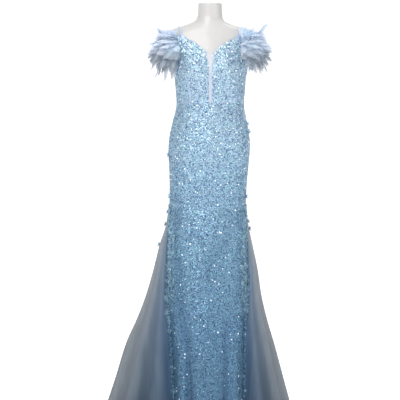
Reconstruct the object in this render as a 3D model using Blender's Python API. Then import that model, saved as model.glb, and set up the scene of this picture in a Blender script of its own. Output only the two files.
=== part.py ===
"""Evening dress of sequins, tulle and feathers, on a limbless dress form with a pole and a round base.

The front faces -Y. Left and right are the wearer's, so left is +X. Sizes are in metres.
One table of level sections gives the form's skin. The bodice, straps, sleeve bands and skirt are
walls moved out from that skin, and below the form the same table gives the hanging skirt.
"""

import math
from collections import namedtuple

import bmesh
import bpy
import numpy as np
from mathutils import Vector

# Walls and seams
CLEAR = 0.0024  # between the form and the cloth
CLOTH = 0.0015  # sequinned cloth on its backing
OUTER = CLEAR + CLOTH
TULLE = 0.0012
SEAM = 0.0004  # between pieces that are sewn edge to edge
LAP = 0.0006  # under a piece that lies on another
FIT = 0.0004  # between hard pieces

# Heights
HEM = 0.006
GODET_TOP = 0.815
FORM_BOTTOM = 0.900
WAIST = 1.2166
INSERT_TOP = 1.4126
FORM_TOP = 1.6180
HIP_HEIGHTS = (0.935, 0.985, 1.025, 1.060, 1.092, 1.124, 1.155, 1.185)  # rows that form and skirt share

# Level sections. Below the form they are the hanging skirt. width, front and back are half axes,
# parting is how far the front and back halves stand from the side line, and lean shifts the centre.
Section = namedtuple("Section", "height width front back parting lean")
SECTIONS = (
    Section(0.006, 0.1300, 0.072, 0.072, 0.122, -0.005),
    Section(0.120, 0.1320, 0.073, 0.073, 0.110, -0.006),
    Section(0.250, 0.1370, 0.076, 0.076, 0.094, -0.009),
    Section(0.400, 0.1455, 0.080, 0.080, 0.072, -0.012),
    Section(0.550, 0.1510, 0.085, 0.087, 0.048, -0.012),
    Section(0.700, 0.1500, 0.090, 0.094, 0.024, -0.011),
    Section(0.770, 0.1490, 0.092, 0.097, 0.010, -0.011),
    Section(0.810, 0.1485, 0.093, 0.099, 0.000, -0.011),
    Section(0.840, 0.1485, 0.094, 0.102, 0.000, -0.010),
    Section(0.910, 0.1505, 0.097, 0.110, 0.000, -0.008),
    Section(0.970, 0.1545, 0.100, 0.118, 0.000, -0.006),
    Section(1.030, 0.1585, 0.103, 0.122, 0.000, -0.005),
    Section(1.055, 0.1585, 0.103, 0.122, 0.000, -0.004),
    Section(1.103, 0.1525, 0.101, 0.112, 0.000, -0.003),
    Section(1.151, 0.1425, 0.096, 0.097, 0.000, -0.002),
    Section(1.2166, 0.1305, 0.089, 0.082, 0.000, 0.000),
    Section(1.271, 0.1345, 0.096, 0.088, 0.000, 0.000),
    Section(1.319, 0.1385, 0.103, 0.097, 0.000, 0.000),
    Section(1.343, 0.1440, 0.104, 0.101, 0.000, 0.000),
    Section(1.367, 0.1540, 0.103, 0.104, 0.000, 0.000),
    Section(1.399, 0.1700, 0.099, 0.106, 0.000, 0.000),
    Section(1.431, 0.1820, 0.092, 0.103, 0.000, 0.000),
    Section(1.463, 0.1860, 0.083, 0.097, 0.000, 0.000),
    Section(1.487, 0.1840, 0.075, 0.090, 0.000, 0.000),
    Section(1.503, 0.1740, 0.069, 0.085, 0.000, 0.000),
    Section(1.512, 0.1580, 0.066, 0.081, 0.000, 0.000),
    Section(1.523, 0.1270, 0.062, 0.076, 0.000, 0.000),
    Section(1.532, 0.0990, 0.059, 0.071, 0.000, 0.000),
    Section(1.541, 0.0760, 0.056, 0.066, 0.000, 0.000),
    Section(1.551, 0.0600, 0.053, 0.060, 0.000, 0.000),
    Section(1.563, 0.0530, 0.051, 0.054, 0.000, 0.000),
    Section(1.583, 0.0505, 0.051, 0.050, 0.000, 0.000),
    Section(1.618, 0.0490, 0.052, 0.048, 0.000, 0.000),
)

# The bust of the form: two low mounds
BUST_HEIGHT = 1.350
BUST_APART = 0.078  # from the centre line to each
BUST_RISE = 0.026
BUST_SPREAD = (0.052, 0.052)  # across and up

# Cut lines of the bodice: angle from the centre front, and height
Cut = namedtuple("Cut", "angle height")
TOP_EDGE = (
    Cut(4.5, 1.4126),
    Cut(8.0, 1.4240),
    Cut(12.4, 1.4380),
    Cut(19.3, 1.4545),
    Cut(30.4, 1.4725),
    Cut(39.0, 1.4865),
    Cut(45.0, 1.4800),
    Cut(54.0, 1.4300),
    Cut(62.0, 1.3950),
    Cut(74.0, 1.3600),
    Cut(90.0, 1.3430),
    Cut(106.0, 1.3600),
    Cut(118.0, 1.3950),
    Cut(126.0, 1.4300),
    Cut(133.0, 1.4620),
    Cut(141.0, 1.4500),
    Cut(152.0, 1.4150),
    Cut(166.0, 1.3740),
    Cut(180.0, 1.3520),
)
PRINCESS_SEAM = (
    Cut(37.5, 1.2166),
    Cut(38.0, 1.2970),
    Cut(33.0, 1.3520),
    Cut(33.0, 1.4200),
    Cut(39.0, 1.4865),
)
# Half the width of the sheer insert in the plunging neckline
Gap = namedtuple("Gap", "height half_width")
PLUNGE = (
    Gap(1.2166, 0.0066),
    Gap(1.3100, 0.0058),
    Gap(1.3500, 0.0066),
    Gap(1.3800, 0.0098),
    Gap(1.4126, 0.0137),
)

# Folds of the sequinned front and back skirt: angle from the middle of the panel, depth at the hem
# where minus is a trough, half width in degrees, and the height where the fold begins
Fold = namedtuple("Fold", "angle depth half_width top")
FRONT_FOLDS = (
    Fold(-37.0, -0.0110, 8.0, 0.520),
    Fold(-56.0, 0.0060, 11.0, 0.480),
    Fold(-12.0, 0.0040, 12.0, 0.330),
    Fold(30.0, -0.0090, 8.0, 0.430),
    Fold(50.0, 0.0050, 11.0, 0.430),
)
BACK_FOLDS = (
    Fold(-58.0, 0.0050, 11.0, 0.480),
    Fold(-36.0, -0.0090, 9.0, 0.500),
    Fold(34.0, -0.0090, 9.0, 0.470),
    Fold(56.0, 0.0050, 11.0, 0.450),
)

# How far each tulle godet reaches from the middle of the form, to the wearer's left and right
Reach = namedtuple("Reach", "height left right")
REACHES = (
    Reach(0.006, 0.322, 0.416),
    Reach(0.120, 0.291, 0.378),
    Reach(0.263, 0.252, 0.333),
    Reach(0.359, 0.224, 0.290),
    Reach(0.455, 0.202, 0.254),
    Reach(0.551, 0.188, 0.226),
    Reach(0.647, 0.168, 0.202),
    Reach(0.743, 0.149, 0.173),
    Reach(0.815, 0.143, 0.164),
)
GODET_LAP = 0.004  # how far the godet overlaps the edges of the sequinned panels
GODET_COLUMNS = 18  # in each gore
GODET_BULGE = 0.26  # forward and back bulge, as a share of the flare
# Folds of a godet: place from its front edge, 0, to its back edge, 1, depth at the hem, half width
Wave = namedtuple("Wave", "place depth half_width")
LEFT_WAVES = (
    Wave(0.075, 0.010, 0.030),
    Wave(0.145, -0.013, 0.034),
    Wave(0.225, 0.012, 0.036),
    Wave(0.305, -0.016, 0.036),
    Wave(0.395, 0.010, 0.040),
    Wave(0.445, -0.012, 0.026),
    Wave(0.555, -0.012, 0.028),
    Wave(0.630, 0.012, 0.036),
    Wave(0.710, -0.015, 0.036),
    Wave(0.790, 0.012, 0.036),
    Wave(0.865, -0.012, 0.032),
    Wave(0.930, 0.009, 0.028),
)
RIGHT_WAVES = (
    Wave(0.065, 0.011, 0.028),
    Wave(0.130, -0.014, 0.032),
    Wave(0.205, 0.014, 0.034),
    Wave(0.285, -0.018, 0.036),
    Wave(0.365, 0.013, 0.036),
    Wave(0.435, -0.014, 0.030),
    Wave(0.560, -0.014, 0.030),
    Wave(0.640, 0.014, 0.036),
    Wave(0.715, -0.018, 0.034),
    Wave(0.795, 0.013, 0.034),
    Wave(0.870, -0.013, 0.030),
    Wave(0.935, 0.010, 0.026),
)

# Straps
STRAP_WIDTH = 0.0065
STRAP_THICK = 0.0018
STRAP_REST = 0.0009  # above the form where the strap crosses the shoulder
STRAP_X = (0.1080, 0.1255, 0.0960)  # front, shoulder and back, from the centre line
STRAP_FRONT_LOW = 1.4640
STRAP_BACK_LOW = 1.4120

# Sleeve bands, round the outside of each shoulder, and the feathers' backing on them
BAND_ANGLES = (41.0, 137.0)
BAND_LOW = 1.4290
BAND_HIGH = 1.4750
BACKING_ANGLES = (43.5, 134.0)
BACKING_LOW = 1.4350
BACKING_HIGH = 1.4690
BAND_INNER = OUTER + 0.0011
BAND_FACE = BAND_INNER + CLOTH
BACKING_THICK = 0.0016

# Feathers: rows from the top of the backing down. tilt is the lift of the root above the level
Row = namedtuple("Row", "rise tilt length droop columns shift")
FEATHER_ROWS = {
    "left": (
        Row(0.88, 52.0, 0.056, 0.014, 8, 0.0),
        Row(0.64, 14.0, 0.050, 0.022, 9, 0.5),
        Row(0.38, -36.0, 0.066, 0.022, 9, 0.0),
        Row(0.12, -68.0, 0.074, 0.006, 9, 0.5),
    ),
    "right": (
        Row(0.88, 46.0, 0.056, 0.016, 8, 0.0),
        Row(0.64, 14.0, 0.052, 0.022, 9, 0.5),
        Row(0.38, -38.0, 0.070, 0.024, 9, 0.0),
        Row(0.12, -75.0, 0.096, 0.006, 9, 0.5),
    ),
}
# Single long feathers that rise above the rest
WISP_RISE = 0.80
WISP_WIDTH = 0.0090
Wisp = namedtuple("Wisp", "angle tilt length droop")
WISPS = {
    "left": (Wisp(54.0, 70.0, 0.066, 0.004), Wisp(63.0, 44.0, 0.098, 0.006), Wisp(112.0, 58.0, 0.076, 0.006)),
    "right": (Wisp(72.0, 66.0, 0.066, 0.004), Wisp(108.0, 60.0, 0.070, 0.006)),
}
FEATHER_WIDTH = 0.0150
FEATHER_THICK = 0.0014
# Width and thickness along a feather, as shares of the largest
Vane = namedtuple("Vane", "along width thick")
VANE = (
    Vane(0.00, 0.30, 1.00),
    Vane(0.32, 0.85, 0.90),
    Vane(0.70, 0.90, 0.70),
    Vane(1.00, 0.12, 0.40),
)
FEATHER_CENTRE = (0.118, 0.004)  # the point in plan that the feathers spread from
FEATHER_SEED = 5

# Applique beside the godet seams, in the front skirt's own angle
APPLIQUE_TOP = 0.800
APPLIQUE_LOW = 0.385
APPLIQUE_ANGLES = (52.0, 83.0)
APPLIQUE_LIFT = OUTER + 0.0014
APPLIQUE_THICK = 0.0012
APPLIQUE_RISE = 0.0036
APPLIQUE_MOTIFS = 14

# Single flowers: the surface they lie on, where on it, and their radius
Bloom = namedtuple("Bloom", "surface across height radius")
BLOOMS = (
    Bloom("skirt", 84.0, 1.134, 0.0095),
    Bloom("skirt", 79.0, 1.104, 0.0110),
    Bloom("skirt", 85.0, 0.846, 0.0090),
    Bloom("skirt", -85.0, 1.012, 0.0100),
    Bloom("skirt", -80.0, 0.846, 0.0100),
    Bloom("godet_left", 0.50, 0.746, 0.0090),
    Bloom("godet_left", 0.50, 0.716, 0.0115),
    Bloom("godet_right", 0.50, 0.784, 0.0085),
    Bloom("godet_right", 0.50, 0.734, 0.0110),
    Bloom("godet_right", 0.50, 0.652, 0.0105),
)
PETALS = 5
BLOOM_THICK = 0.0011
BLOOM_LIFT = 0.0055  # of the petals' tips above the centre

# Pole and base of the form
POLE_RADIUS = 0.0125
FLANGE_RADIUS = 0.036
FLANGE_THICK = 0.012
BASE_RADIUS = 0.165
BASE_EDGE = 0.008
BASE_THICK = 0.014

# Concealed zip in the centre back seam
ZIP_TOP = 1.346
SLIDER = (0.0066, 0.0104, 0.0020)  # across, up and out
PIN_RADIUS = 0.0006
KNUCKLE = (0.0009, 0.0019)  # bore and outer radius of the pull's eye, round the pin
LUG_THICK = 0.0011
LUG_HALF = 0.0014
PIN_DROP = 0.0042  # below the slider's top
PULL = (0.0050, 0.0215, 0.0012)  # across, down and out

Finish = namedtuple("Finish", "colour roughness metallic")
FINISHES = {
    "sequins": Finish((0.36, 0.58, 0.76), 0.30, 0.35),
    "tulle": Finish((0.33, 0.47, 0.64), 0.80, 0.0),
    "sheer_mesh": Finish((0.80, 0.82, 0.86), 0.75, 0.0),
    "feathers": Finish((0.55, 0.66, 0.82), 0.85, 0.0),
    "satin": Finish((0.50, 0.62, 0.82), 0.45, 0.0),
    "applique": Finish((0.38, 0.60, 0.78), 0.55, 0.1),
    "form_shell": Finish((0.86, 0.85, 0.83), 0.40, 0.0),
    "steel": Finish((0.55, 0.56, 0.58), 0.35, 0.9),
    "zip_metal": Finish((0.62, 0.68, 0.76), 0.30, 0.9),
}


class Curve:
    """A monotone cubic through the rows of a table, which never overshoots them."""

    def __init__(self, knots, values):
        self.knots = [float(k) for k in knots]
        self.values = [float(v) for v in values]
        steps = np.diff(self.knots)
        slopes = np.diff(self.values) / steps
        inner = [self.blend(steps[i : i + 2], slopes[i : i + 2]) for i in range(len(steps) - 1)]
        self.tangents = [slopes[0], *inner, slopes[-1]]

    @staticmethod
    def blend(steps, slopes):
        if slopes[0] * slopes[1] <= 0:
            return 0.0
        before = 2 * steps[1] + steps[0]
        after = steps[1] + 2 * steps[0]
        return (before + after) / (before / slopes[0] + after / slopes[1])

    def __call__(self, at):
        at = min(max(at, self.knots[0]), self.knots[-1])
        i = 0
        while i < len(self.knots) - 2 and at > self.knots[i + 1]:
            i += 1
        step = self.knots[i + 1] - self.knots[i]
        t = (at - self.knots[i]) / step
        start = (1 + 2 * t) * (1 - t) ** 2
        return (
            start * self.values[i]
            + (1 - start) * self.values[i + 1]
            + t * (1 - t) ** 2 * step * self.tangents[i]
            - t * t * (1 - t) * step * self.tangents[i + 1]
        )


def columns_of(table):
    """One curve for each column of a table, over its first column, which is the height."""
    heights = [row.height for row in table]
    names = [name for name in table[0]._fields if name != "height"]
    return {name: Curve(heights, [getattr(row, name) for row in table]) for name in names}


BODY = columns_of(SECTIONS)
FLARE = columns_of(sorted(REACHES, key=lambda row: row.height))
PLUNGE_HALF = columns_of(PLUNGE)["half_width"]
PRINCESS = columns_of(PRINCESS_SEAM)["angle"]
TOP = Curve([cut.angle for cut in TOP_EDGE], [cut.height for cut in TOP_EDGE])


def ease(t):
    t = min(max(t, 0.0), 1.0)
    return t * t * (3 - 2 * t)


def bust(x, height):
    """How far the bust stands forward of the plain section."""
    up = (height - BUST_HEIGHT) / BUST_SPREAD[1]
    both = sum(math.exp(-(((x - c) / BUST_SPREAD[0]) ** 2)) for c in (-BUST_APART, BUST_APART))
    return BUST_RISE * both * math.exp(-up * up)


def folding(folds, angle, height):
    """How far the folds of a skirt panel move it out at this angle from its middle."""
    total = 0.0
    for fold in folds:
        depth = fold.depth * ease((fold.top - height) / (fold.top - HEM))
        total += depth * math.exp(-(((angle - fold.angle) / fold.half_width) ** 2))
    return total


def front_point(angle, height):
    """A point of the front half, from -90 to 90 degrees."""
    turn = math.radians(angle)
    width = BODY["width"](height)
    out = folding(FRONT_FOLDS, angle, height)
    x = (width + out) * math.sin(turn)
    y = (BODY["front"](height) + out + bust(x, height)) * math.cos(turn) + BODY["parting"](height)
    return Vector((BODY["lean"](height) + x, -y, height))


def back_point(angle, height):
    """A point of the back half, from 90 to 270 degrees."""
    turn = math.radians(angle)
    out = folding(BACK_FOLDS, 180 - angle, height)
    x = (BODY["width"](height) + out) * math.sin(turn)
    y = -(BODY["back"](height) + out) * math.cos(turn) + BODY["parting"](height)
    return Vector((BODY["lean"](height) + x, y, height))


def skin_point(angle, height):
    """A point of the form's skin at any angle."""
    angle = (angle + 90) % 360 - 90
    return front_point(angle, height) if angle <= 90 else back_point(angle, height)


def godet_point(side, place, height):
    """A point of a tulle godet. Place runs round the body, so from back to front on the right."""
    from_front = place if side > 0 else 1 - place
    parted = math.copysign(SEAM / 2, 0.5 - from_front)
    turn = math.pi * from_front
    lean = BODY["lean"](height)
    edge = BODY["width"](height) + OUTER + SEAM
    tip = FLARE["left" if side > 0 else "right"](height) - side * lean
    flare = max(tip - edge, 0.0020)
    inset = min(1.0, from_front / 0.07, (1 - from_front) / 0.07)
    grown = ease((GODET_TOP - height) / (GODET_TOP - HEM) * 1.15)
    out = sum(
        wave.depth * math.exp(-(((from_front - wave.place) / wave.half_width) ** 2))
        for wave in (LEFT_WAVES if side > 0 else RIGHT_WAVES)
    )
    out *= grown * ease(inset)
    level = edge + flare * math.sin(turn) ** 0.8 if 0 < from_front < 1 else edge
    depth = (BODY["parting"](height) + GODET_LAP) * math.cos(turn)
    depth += GODET_BULGE * flare * math.sin(2 * turn)
    return Vector((
        lean + side * (level + out * math.sin(turn)),
        -(depth + parted + out * math.cos(turn)),
        height,
    ))


def godet_side(side):
    return lambda place, height: godet_point(side, place, height)


def facets_of(surface, columns, rows):
    """A surface as its wall has it, flat between its own columns and rows of points."""

    def between(marks, at):
        i = 0
        while i < len(marks) - 2 and at > marks[i + 1]:
            i += 1
        return marks[i], marks[i + 1], (at - marks[i]) / (marks[i + 1] - marks[i])

    def point(across, height):
        left, right, u = between(columns, across)
        low, high, v = between(rows, height)
        bottom = surface(left, low).lerp(surface(right, low), u)
        return bottom.lerp(surface(left, high).lerp(surface(right, high), u), v)

    return point


def lifted(surface, across, height, lift):
    """A point of a surface moved out along its normal."""
    step = 1e-4
    here = surface(across, height)
    along = surface(across + step, height) - surface(across - step, height)
    up = surface(across, height + step) - surface(across, height - step)
    return here + along.cross(up).normalized() * lift


def material(name):
    made = bpy.data.materials.get(name)
    if made is None:
        made = bpy.data.materials.new(name)
        made.use_nodes = True
        shader = made.node_tree.nodes["Principled BSDF"]
        finish = FINISHES[name]
        shader.inputs["Base Color"].default_value = (*finish.colour, 1.0)
        shader.inputs["Roughness"].default_value = finish.roughness
        shader.inputs["Metallic"].default_value = finish.metallic
    return made


def solid(name, points, faces, finish, origin=None, smooth_angle=40.0):
    """One closed object from points and faces, with its origin at its middle or at a given point."""
    if origin is None:
        low = Vector([min(p[i] for p in points) for i in range(3)])
        high = Vector([max(p[i] for p in points) for i in range(3)])
        origin = (low + high) / 2
    mesh = bpy.data.meshes.new(name)
    mesh.from_pydata([tuple(p - origin) for p in points], [], faces)
    shaped = bmesh.new()
    shaped.from_mesh(mesh)
    bmesh.ops.recalc_face_normals(shaped, faces=shaped.faces)
    shaped.to_mesh(mesh)
    shaped.free()
    mesh.shade_smooth()
    mesh.set_sharp_from_angle(angle=math.radians(smooth_angle))
    mesh.materials.append(material(finish))
    return placed(name, mesh, origin)


def placed(name, mesh, origin):
    made = bpy.data.objects.new(name, mesh)
    made.location = origin
    made.parent = bpy.data.objects["evening_dress"]
    bpy.context.scene.collection.objects.link(made)
    return made


def wall(name, surface, grid, inner, outer, finish):
    """A wall of cloth over a grid of (across, height) pairs, between two lifts off its surface."""
    columns = len(grid[0])
    layer = len(grid) * columns
    points = []
    for lift in (inner, outer):
        for row in grid:
            for across, height in row:
                amount = lift(across, height) if callable(lift) else lift
                points.append(lifted(surface, across, height, amount))
    faces = []
    for r in range(len(grid) - 1):
        for c in range(columns - 1):
            corner = r * columns + c
            quad = (corner, corner + 1, corner + 1 + columns, corner + columns)
            faces.append(tuple(layer + i for i in quad))
            faces.append(quad[::-1])
    last = layer - columns
    rim = list(range(columns))
    rim += [r * columns + columns - 1 for r in range(1, len(grid))]
    rim += [last + c for c in range(columns - 2, -1, -1)]
    rim += [r * columns for r in range(len(grid) - 2, 0, -1)]
    for i, j in zip(rim, rim[1:] + rim[:1]):
        faces.append((i, j, layer + j, layer + i))
    return solid(name, points, faces, finish)


def lofted(name, rings, finish, origin=None):
    """A closed solid through rings of points, with flat ends."""
    count = len(rings[0])
    points = [p for ring in rings for p in ring]
    faces = [tuple(range(count))[::-1], tuple(range((len(rings) - 1) * count, len(points)))]
    for r in range(len(rings) - 1):
        for c in range(count):
            here, after = r * count + c, r * count + (c + 1) % count
            faces.append((here, after, after + count, here + count))
    return solid(name, points, faces, finish, origin)


def round_rings(profile, sides):
    """Rings about the Z axis for a turned shape, from (radius, height) pairs."""
    turns = [2 * math.pi * i / sides for i in range(sides)]
    return [[Vector((r * math.cos(t), r * math.sin(t), z)) for t in turns] for r, z in profile]


def spaced(low, high, count):
    return [low + (high - low) * i / count for i in range(count + 1)]


def degrees_of(length, height):
    """The angle that a short length covers on the section at this height."""
    return math.degrees(length / BODY["width"](height))


def panel_grid(low_angle, high_angle, bottom, columns, rows):
    """A bodice panel from its bottom to the top edge, between two seams given as angle of height."""
    grid = []
    tops = []
    for u in spaced(0.0, 1.0, columns):
        top = 1.40
        for _ in range(30):
            here = low_angle(top) + (high_angle(top) - low_angle(top)) * u
            top += 0.6 * (TOP(abs(here)) - top)
        tops.append(top)
    for v in spaced(0.0, 1.0, rows):
        row = []
        for u, top in zip(spaced(0.0, 1.0, columns), tops):
            height = bottom + (top - bottom) * v
            row.append((low_angle(height) + (high_angle(height) - low_angle(height)) * u, height))
        grid.append(row)
    return grid


def mirrored(grid):
    return [[(-across, height) for across, height in row] for row in grid]


def plunge_angle(height):
    return math.degrees(math.asin(PLUNGE_HALF(height) / BODY["width"](height)))


def make_form():
    """The torso with its neck, the flange, the pole and the base."""
    sides = 30
    heights = [FORM_BOTTOM + 0.012, 0.985, 1.060, *HIP_HEIGHTS[5:], WAIST, 1.245, 1.271, 1.295, 1.319]
    heights += [1.343, 1.367, 1.399, 1.431, 1.463, 1.487, 1.503, 1.512]
    heights += [1.523, 1.532, 1.541, 1.552, 1.566, FORM_TOP]
    angles = [360.0 * i / sides for i in range(sides)]
    rings = [[skin_point(a, z) for a in angles] for z in heights]
    middle = Vector((BODY["lean"](FORM_BOTTOM), 0.0, 0.0))
    under = [middle + (p - middle) * 0.93 for p in rings[0]]
    under = [Vector((p.x, p.y, FORM_BOTTOM)) for p in under]
    lofted("form_torso", [under, *rings], "form_shell")

    flange_top = FORM_BOTTOM - FIT
    flange_low = flange_top - FLANGE_THICK
    profile = [(FLANGE_RADIUS * 0.7, flange_low), (FLANGE_RADIUS, flange_low + 0.004)]
    profile.append((FLANGE_RADIUS, flange_top))
    lofted("form_flange", round_rings(profile, 20), "steel")
    pole = [(POLE_RADIUS, BASE_THICK + FIT), (POLE_RADIUS, flange_low - FIT)]
    lofted("form_pole", round_rings(pole, 16), "steel")
    disc = [(BASE_RADIUS - 0.002, 0.0), (BASE_RADIUS, 0.002), (BASE_RADIUS, BASE_EDGE)]
    disc += [(BASE_RADIUS - 0.010, BASE_EDGE + 0.003), (0.045, BASE_THICK - 0.001), (0.030, BASE_THICK)]
    lofted("form_base", round_rings(disc, 28), "steel")


def make_bodice():
    """Centre front, side front and back panels on each side, and the sheer insert."""
    bottom = WAIST + SEAM
    half = degrees_of(SEAM / 2, WAIST)

    def plunge_edge(height):
        return plunge_angle(height) + 2 * half

    def princess_front(height):
        return PRINCESS(height) - half

    def princess_side(height):
        return PRINCESS(height) + half

    centre = panel_grid(plunge_edge, princess_front, bottom, 6, 11)
    side = panel_grid(princess_side, lambda height: 90.0 - half, bottom, 8, 11)
    back = panel_grid(lambda height: 90.0 + half, lambda height: 180.0 - half, bottom, 9, 8)
    wall("bodice_centre_front_left", front_point, centre, CLEAR, OUTER, "sequins")
    wall("bodice_centre_front_right", front_point, mirrored(centre), CLEAR, OUTER, "sequins")
    wall("bodice_side_front_left", front_point, side, CLEAR, OUTER, "sequins")
    wall("bodice_side_front_right", front_point, mirrored(side), CLEAR, OUTER, "sequins")
    wall("bodice_back_left", back_point, back, CLEAR, OUTER, "sequins")
    right_back = [[(360.0 - across, height) for across, height in row] for row in back]
    wall("bodice_back_right", back_point, right_back, CLEAR, OUTER, "sequins")

    insert = []
    for height in spaced(bottom, INSERT_TOP, 9):
        edge = plunge_angle(height) - half
        insert.append([(edge * u, height) for u in (-1.0, -0.35, 0.35, 1.0)])
    wall("plunge_insert", front_point, insert, CLEAR, CLEAR + 0.001, "sheer_mesh")


def skirt_heights():
    heights = [HEM, 0.090, 0.175, 0.265, 0.355, 0.445, 0.535, 0.625, 0.710, 0.775, 0.820, 0.875]
    return [*heights, *HIP_HEIGHTS, WAIST - SEAM]


def front_stations():
    edge = 90 - degrees_of(SEAM / 2, WAIST)
    inner = [-78, -68, -59, -51, -43, -37, -31, -24, -12, 0, 12, 22, 30, 38, 47, 58, 68, 78]
    return [-edge, *inner, edge]


def make_skirt():
    """The sequinned front and the two back panels, from the waist to the hem."""
    half = degrees_of(SEAM / 2, WAIST)
    front = [[(angle, height) for angle in front_stations()] for height in skirt_heights()]
    wall("skirt_front", front_point, front, CLEAR, OUTER, "sequins")
    across = [90 + half, 105, 119, 132, 144, 155, 167, 180 - half]
    back = [[(angle, height) for angle in across] for height in skirt_heights()]
    wall("skirt_back_left", back_point, back, CLEAR, OUTER, "sequins")
    right = [[(360.0 - angle, height) for angle in across] for height in skirt_heights()]
    wall("skirt_back_right", back_point, right, CLEAR, OUTER, "sequins")


def godet_heights():
    return [HEM, 0.090, 0.185, 0.285, 0.385, 0.485, 0.585, 0.675, 0.755, GODET_TOP]


def make_godets():
    """Two gores of tulle on each side, seamed at the tip of the flare."""
    for side, word in ((1, "left"), (-1, "right")):
        for gore, low, high in (("front", 0.0, 0.5 - 1e-6), ("back", 0.5 + 1e-6, 1.0)):
            places = spaced(low, high, GODET_COLUMNS)
            if side < 0:
                places = [1 - place for place in places]
            grid = [[(place, height) for place in places] for height in godet_heights()]
            wall(f"tulle_{gore}_{word}", godet_side(side), grid, 0.0, TULLE, "tulle")


def strap_path(front_low, back_low):
    """(angle, height) pairs over the left shoulder, close together where the skin turns over."""
    front_x, ridge_x, back_x = STRAP_X
    low, high = 1.49, FORM_TOP
    for _ in range(40):
        middle = (low + high) / 2
        low, high = (middle, high) if BODY["width"](middle) > ridge_x else (low, middle)
    ridge = low
    path = []
    for t in spaced(-1.0, 1.0, 18):
        bottom, end_x = (front_low, front_x) if t < 0 else (back_low, back_x)
        height = ridge - (ridge - bottom) * t * t
        x = ridge_x + (end_x - ridge_x) * t * t
        lean = math.degrees(math.asin(min(1.0, x / BODY["width"](height))))
        path.append((lean if t < 0 else 180 - lean, height, abs(t)))
    return path


def make_strap(side, word):
    """A flat tube strap from the bodice front over the shoulder to the bodice back."""
    rings = []
    path = strap_path(STRAP_FRONT_LOW, STRAP_BACK_LOW)
    line = []
    for angle, height, off_ridge in path:
        lift = STRAP_REST + (OUTER + LAP - STRAP_REST) * ease((off_ridge - 0.30) / 0.42)
        low = lifted(skin_point, angle, height, lift)
        line.append((low, lifted(skin_point, angle, height, lift + STRAP_THICK)))
    for i, (low, high) in enumerate(line):
        before, after = line[max(i - 1, 0)][0], line[min(i + 1, len(line) - 1)][0]
        out = (high - low).normalized()
        across = (after - before).cross(out).normalized() * (STRAP_WIDTH / 2)
        ring = [low - across * 0.8, low + across * 0.8, low + across + out * STRAP_THICK * 0.5]
        ring += [high + across * 0.8, high - across * 0.8, low - across + out * STRAP_THICK * 0.5]
        rings.append([Vector((side * p.x, p.y, p.z)) for p in ring])
    lofted(f"strap_{word}", rings, "satin")


def band_grid(angles, low, high, columns, rows):
    return [[(angle, height) for angle in spaced(*angles, columns)] for height in spaced(low, high, rows)]


def feather(shaped, root, out, along, length, droop, width):
    """One feather as a four-sided blade from its root, bending down towards its tip."""
    rings = []
    side = along
    for vane in VANE:
        t = vane.along
        centre = root + out * (length * t) - Vector((0, 0, 1)) * (droop * t * t)
        heading = (out * length - Vector((0, 0, 2)) * (droop * t)).normalized()
        across = (side - heading * side.dot(heading)).normalized()
        face = heading.cross(across).normalized()
        wide = across * (width * vane.width / 2)
        thick = face * (FEATHER_THICK * vane.thick / 2)
        rings.append([shaped.verts.new(centre + d) for d in (wide, thick, -wide, -thick)])
    for before, after in zip(rings, rings[1:]):
        for c in range(4):
            shaped.faces.new((before[c], before[(c + 1) % 4], after[(c + 1) % 4], after[c]))
    shaped.faces.new(rings[0][::-1])
    shaped.faces.new(rings[-1])


def make_sleeve(side, word):
    """The sleeve band, and the feathers with their roots fused into a backing strip on it."""
    grid = band_grid(BAND_ANGLES, BAND_LOW, BAND_HIGH, 14, 2)
    strip = band_grid(BACKING_ANGLES, BACKING_LOW, BACKING_HIGH, 14, 2)
    if side < 0:
        grid, strip = mirrored(grid), mirrored(strip)
    wall(f"sleeve_band_{word}", skin_point, grid, BAND_INNER, BAND_FACE, "sequins")
    face = BAND_FACE + LAP
    backing = wall(f"feathers_{word}", skin_point, strip, face, face + BACKING_THICK, "feathers")

    random = np.random.default_rng(FEATHER_SEED + side)
    shaped = bmesh.new()
    inside = Vector((side * FEATHER_CENTRE[0], FEATHER_CENTRE[1], BACKING_LOW))

    def add(angle, rise, tilt, length, droop, width):
        height = BACKING_LOW + (BACKING_HIGH - BACKING_LOW) * rise
        root = lifted(skin_point, side * angle, height, face + BACKING_THICK * 0.4)
        level = root - inside
        level.z = 0.0
        level.normalize()
        tilt = math.radians(tilt)
        out = level * math.cos(tilt) + Vector((0, 0, math.sin(tilt)))
        feather(shaped, root, out, Vector((0, 0, 1)).cross(level), length, droop, width)

    low, high = BACKING_ANGLES[0] + 3.0, BACKING_ANGLES[1] - 3.0
    for row in FEATHER_ROWS[word]:
        for c in range(row.columns):
            share = (c + 0.5 * row.shift + 0.25) / row.columns
            tilt = row.tilt + random.uniform(-5, 5)
            length = row.length * random.uniform(0.86, 1.08)
            width = FEATHER_WIDTH * random.uniform(0.85, 1.1)
            add(low + (high - low) * share, row.rise, tilt, length, row.droop, width)
    for wisp in WISPS[word]:
        add(wisp.angle, WISP_RISE, wisp.tilt, wisp.length, wisp.droop, WISP_WIDTH)
    bmesh.ops.recalc_face_normals(shaped, faces=shaped.faces)
    mesh = bpy.data.meshes.new(f"blades_{word}")
    shaped.to_mesh(mesh)
    shaped.free()
    blades = placed(f"blades_{word}", mesh, Vector())
    blades.hide_render = True
    blades.display_type = "WIRE"
    joined = backing.modifiers.new("Fuse the roots", "BOOLEAN")
    joined.operation = "UNION"
    joined.solver = "EXACT"
    joined.use_self = True
    joined.object = blades


def motif(along, across):
    """Height of the raised flowers of the applique, from 0 to 1, over a strip of unit width."""
    cell = along * APPLIQUE_MOTIFS
    number = math.floor(cell)
    centre = 0.32 if number % 2 else 0.68
    x = (cell - number - 0.5) * 1.1
    y = (across - centre) * 2.0
    turn = math.atan2(y, x)
    reach = 0.40 + 0.12 * math.cos(PETALS * turn)
    return max(0.0, 1.0 - (math.hypot(x, y) / reach) ** 2)


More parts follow.
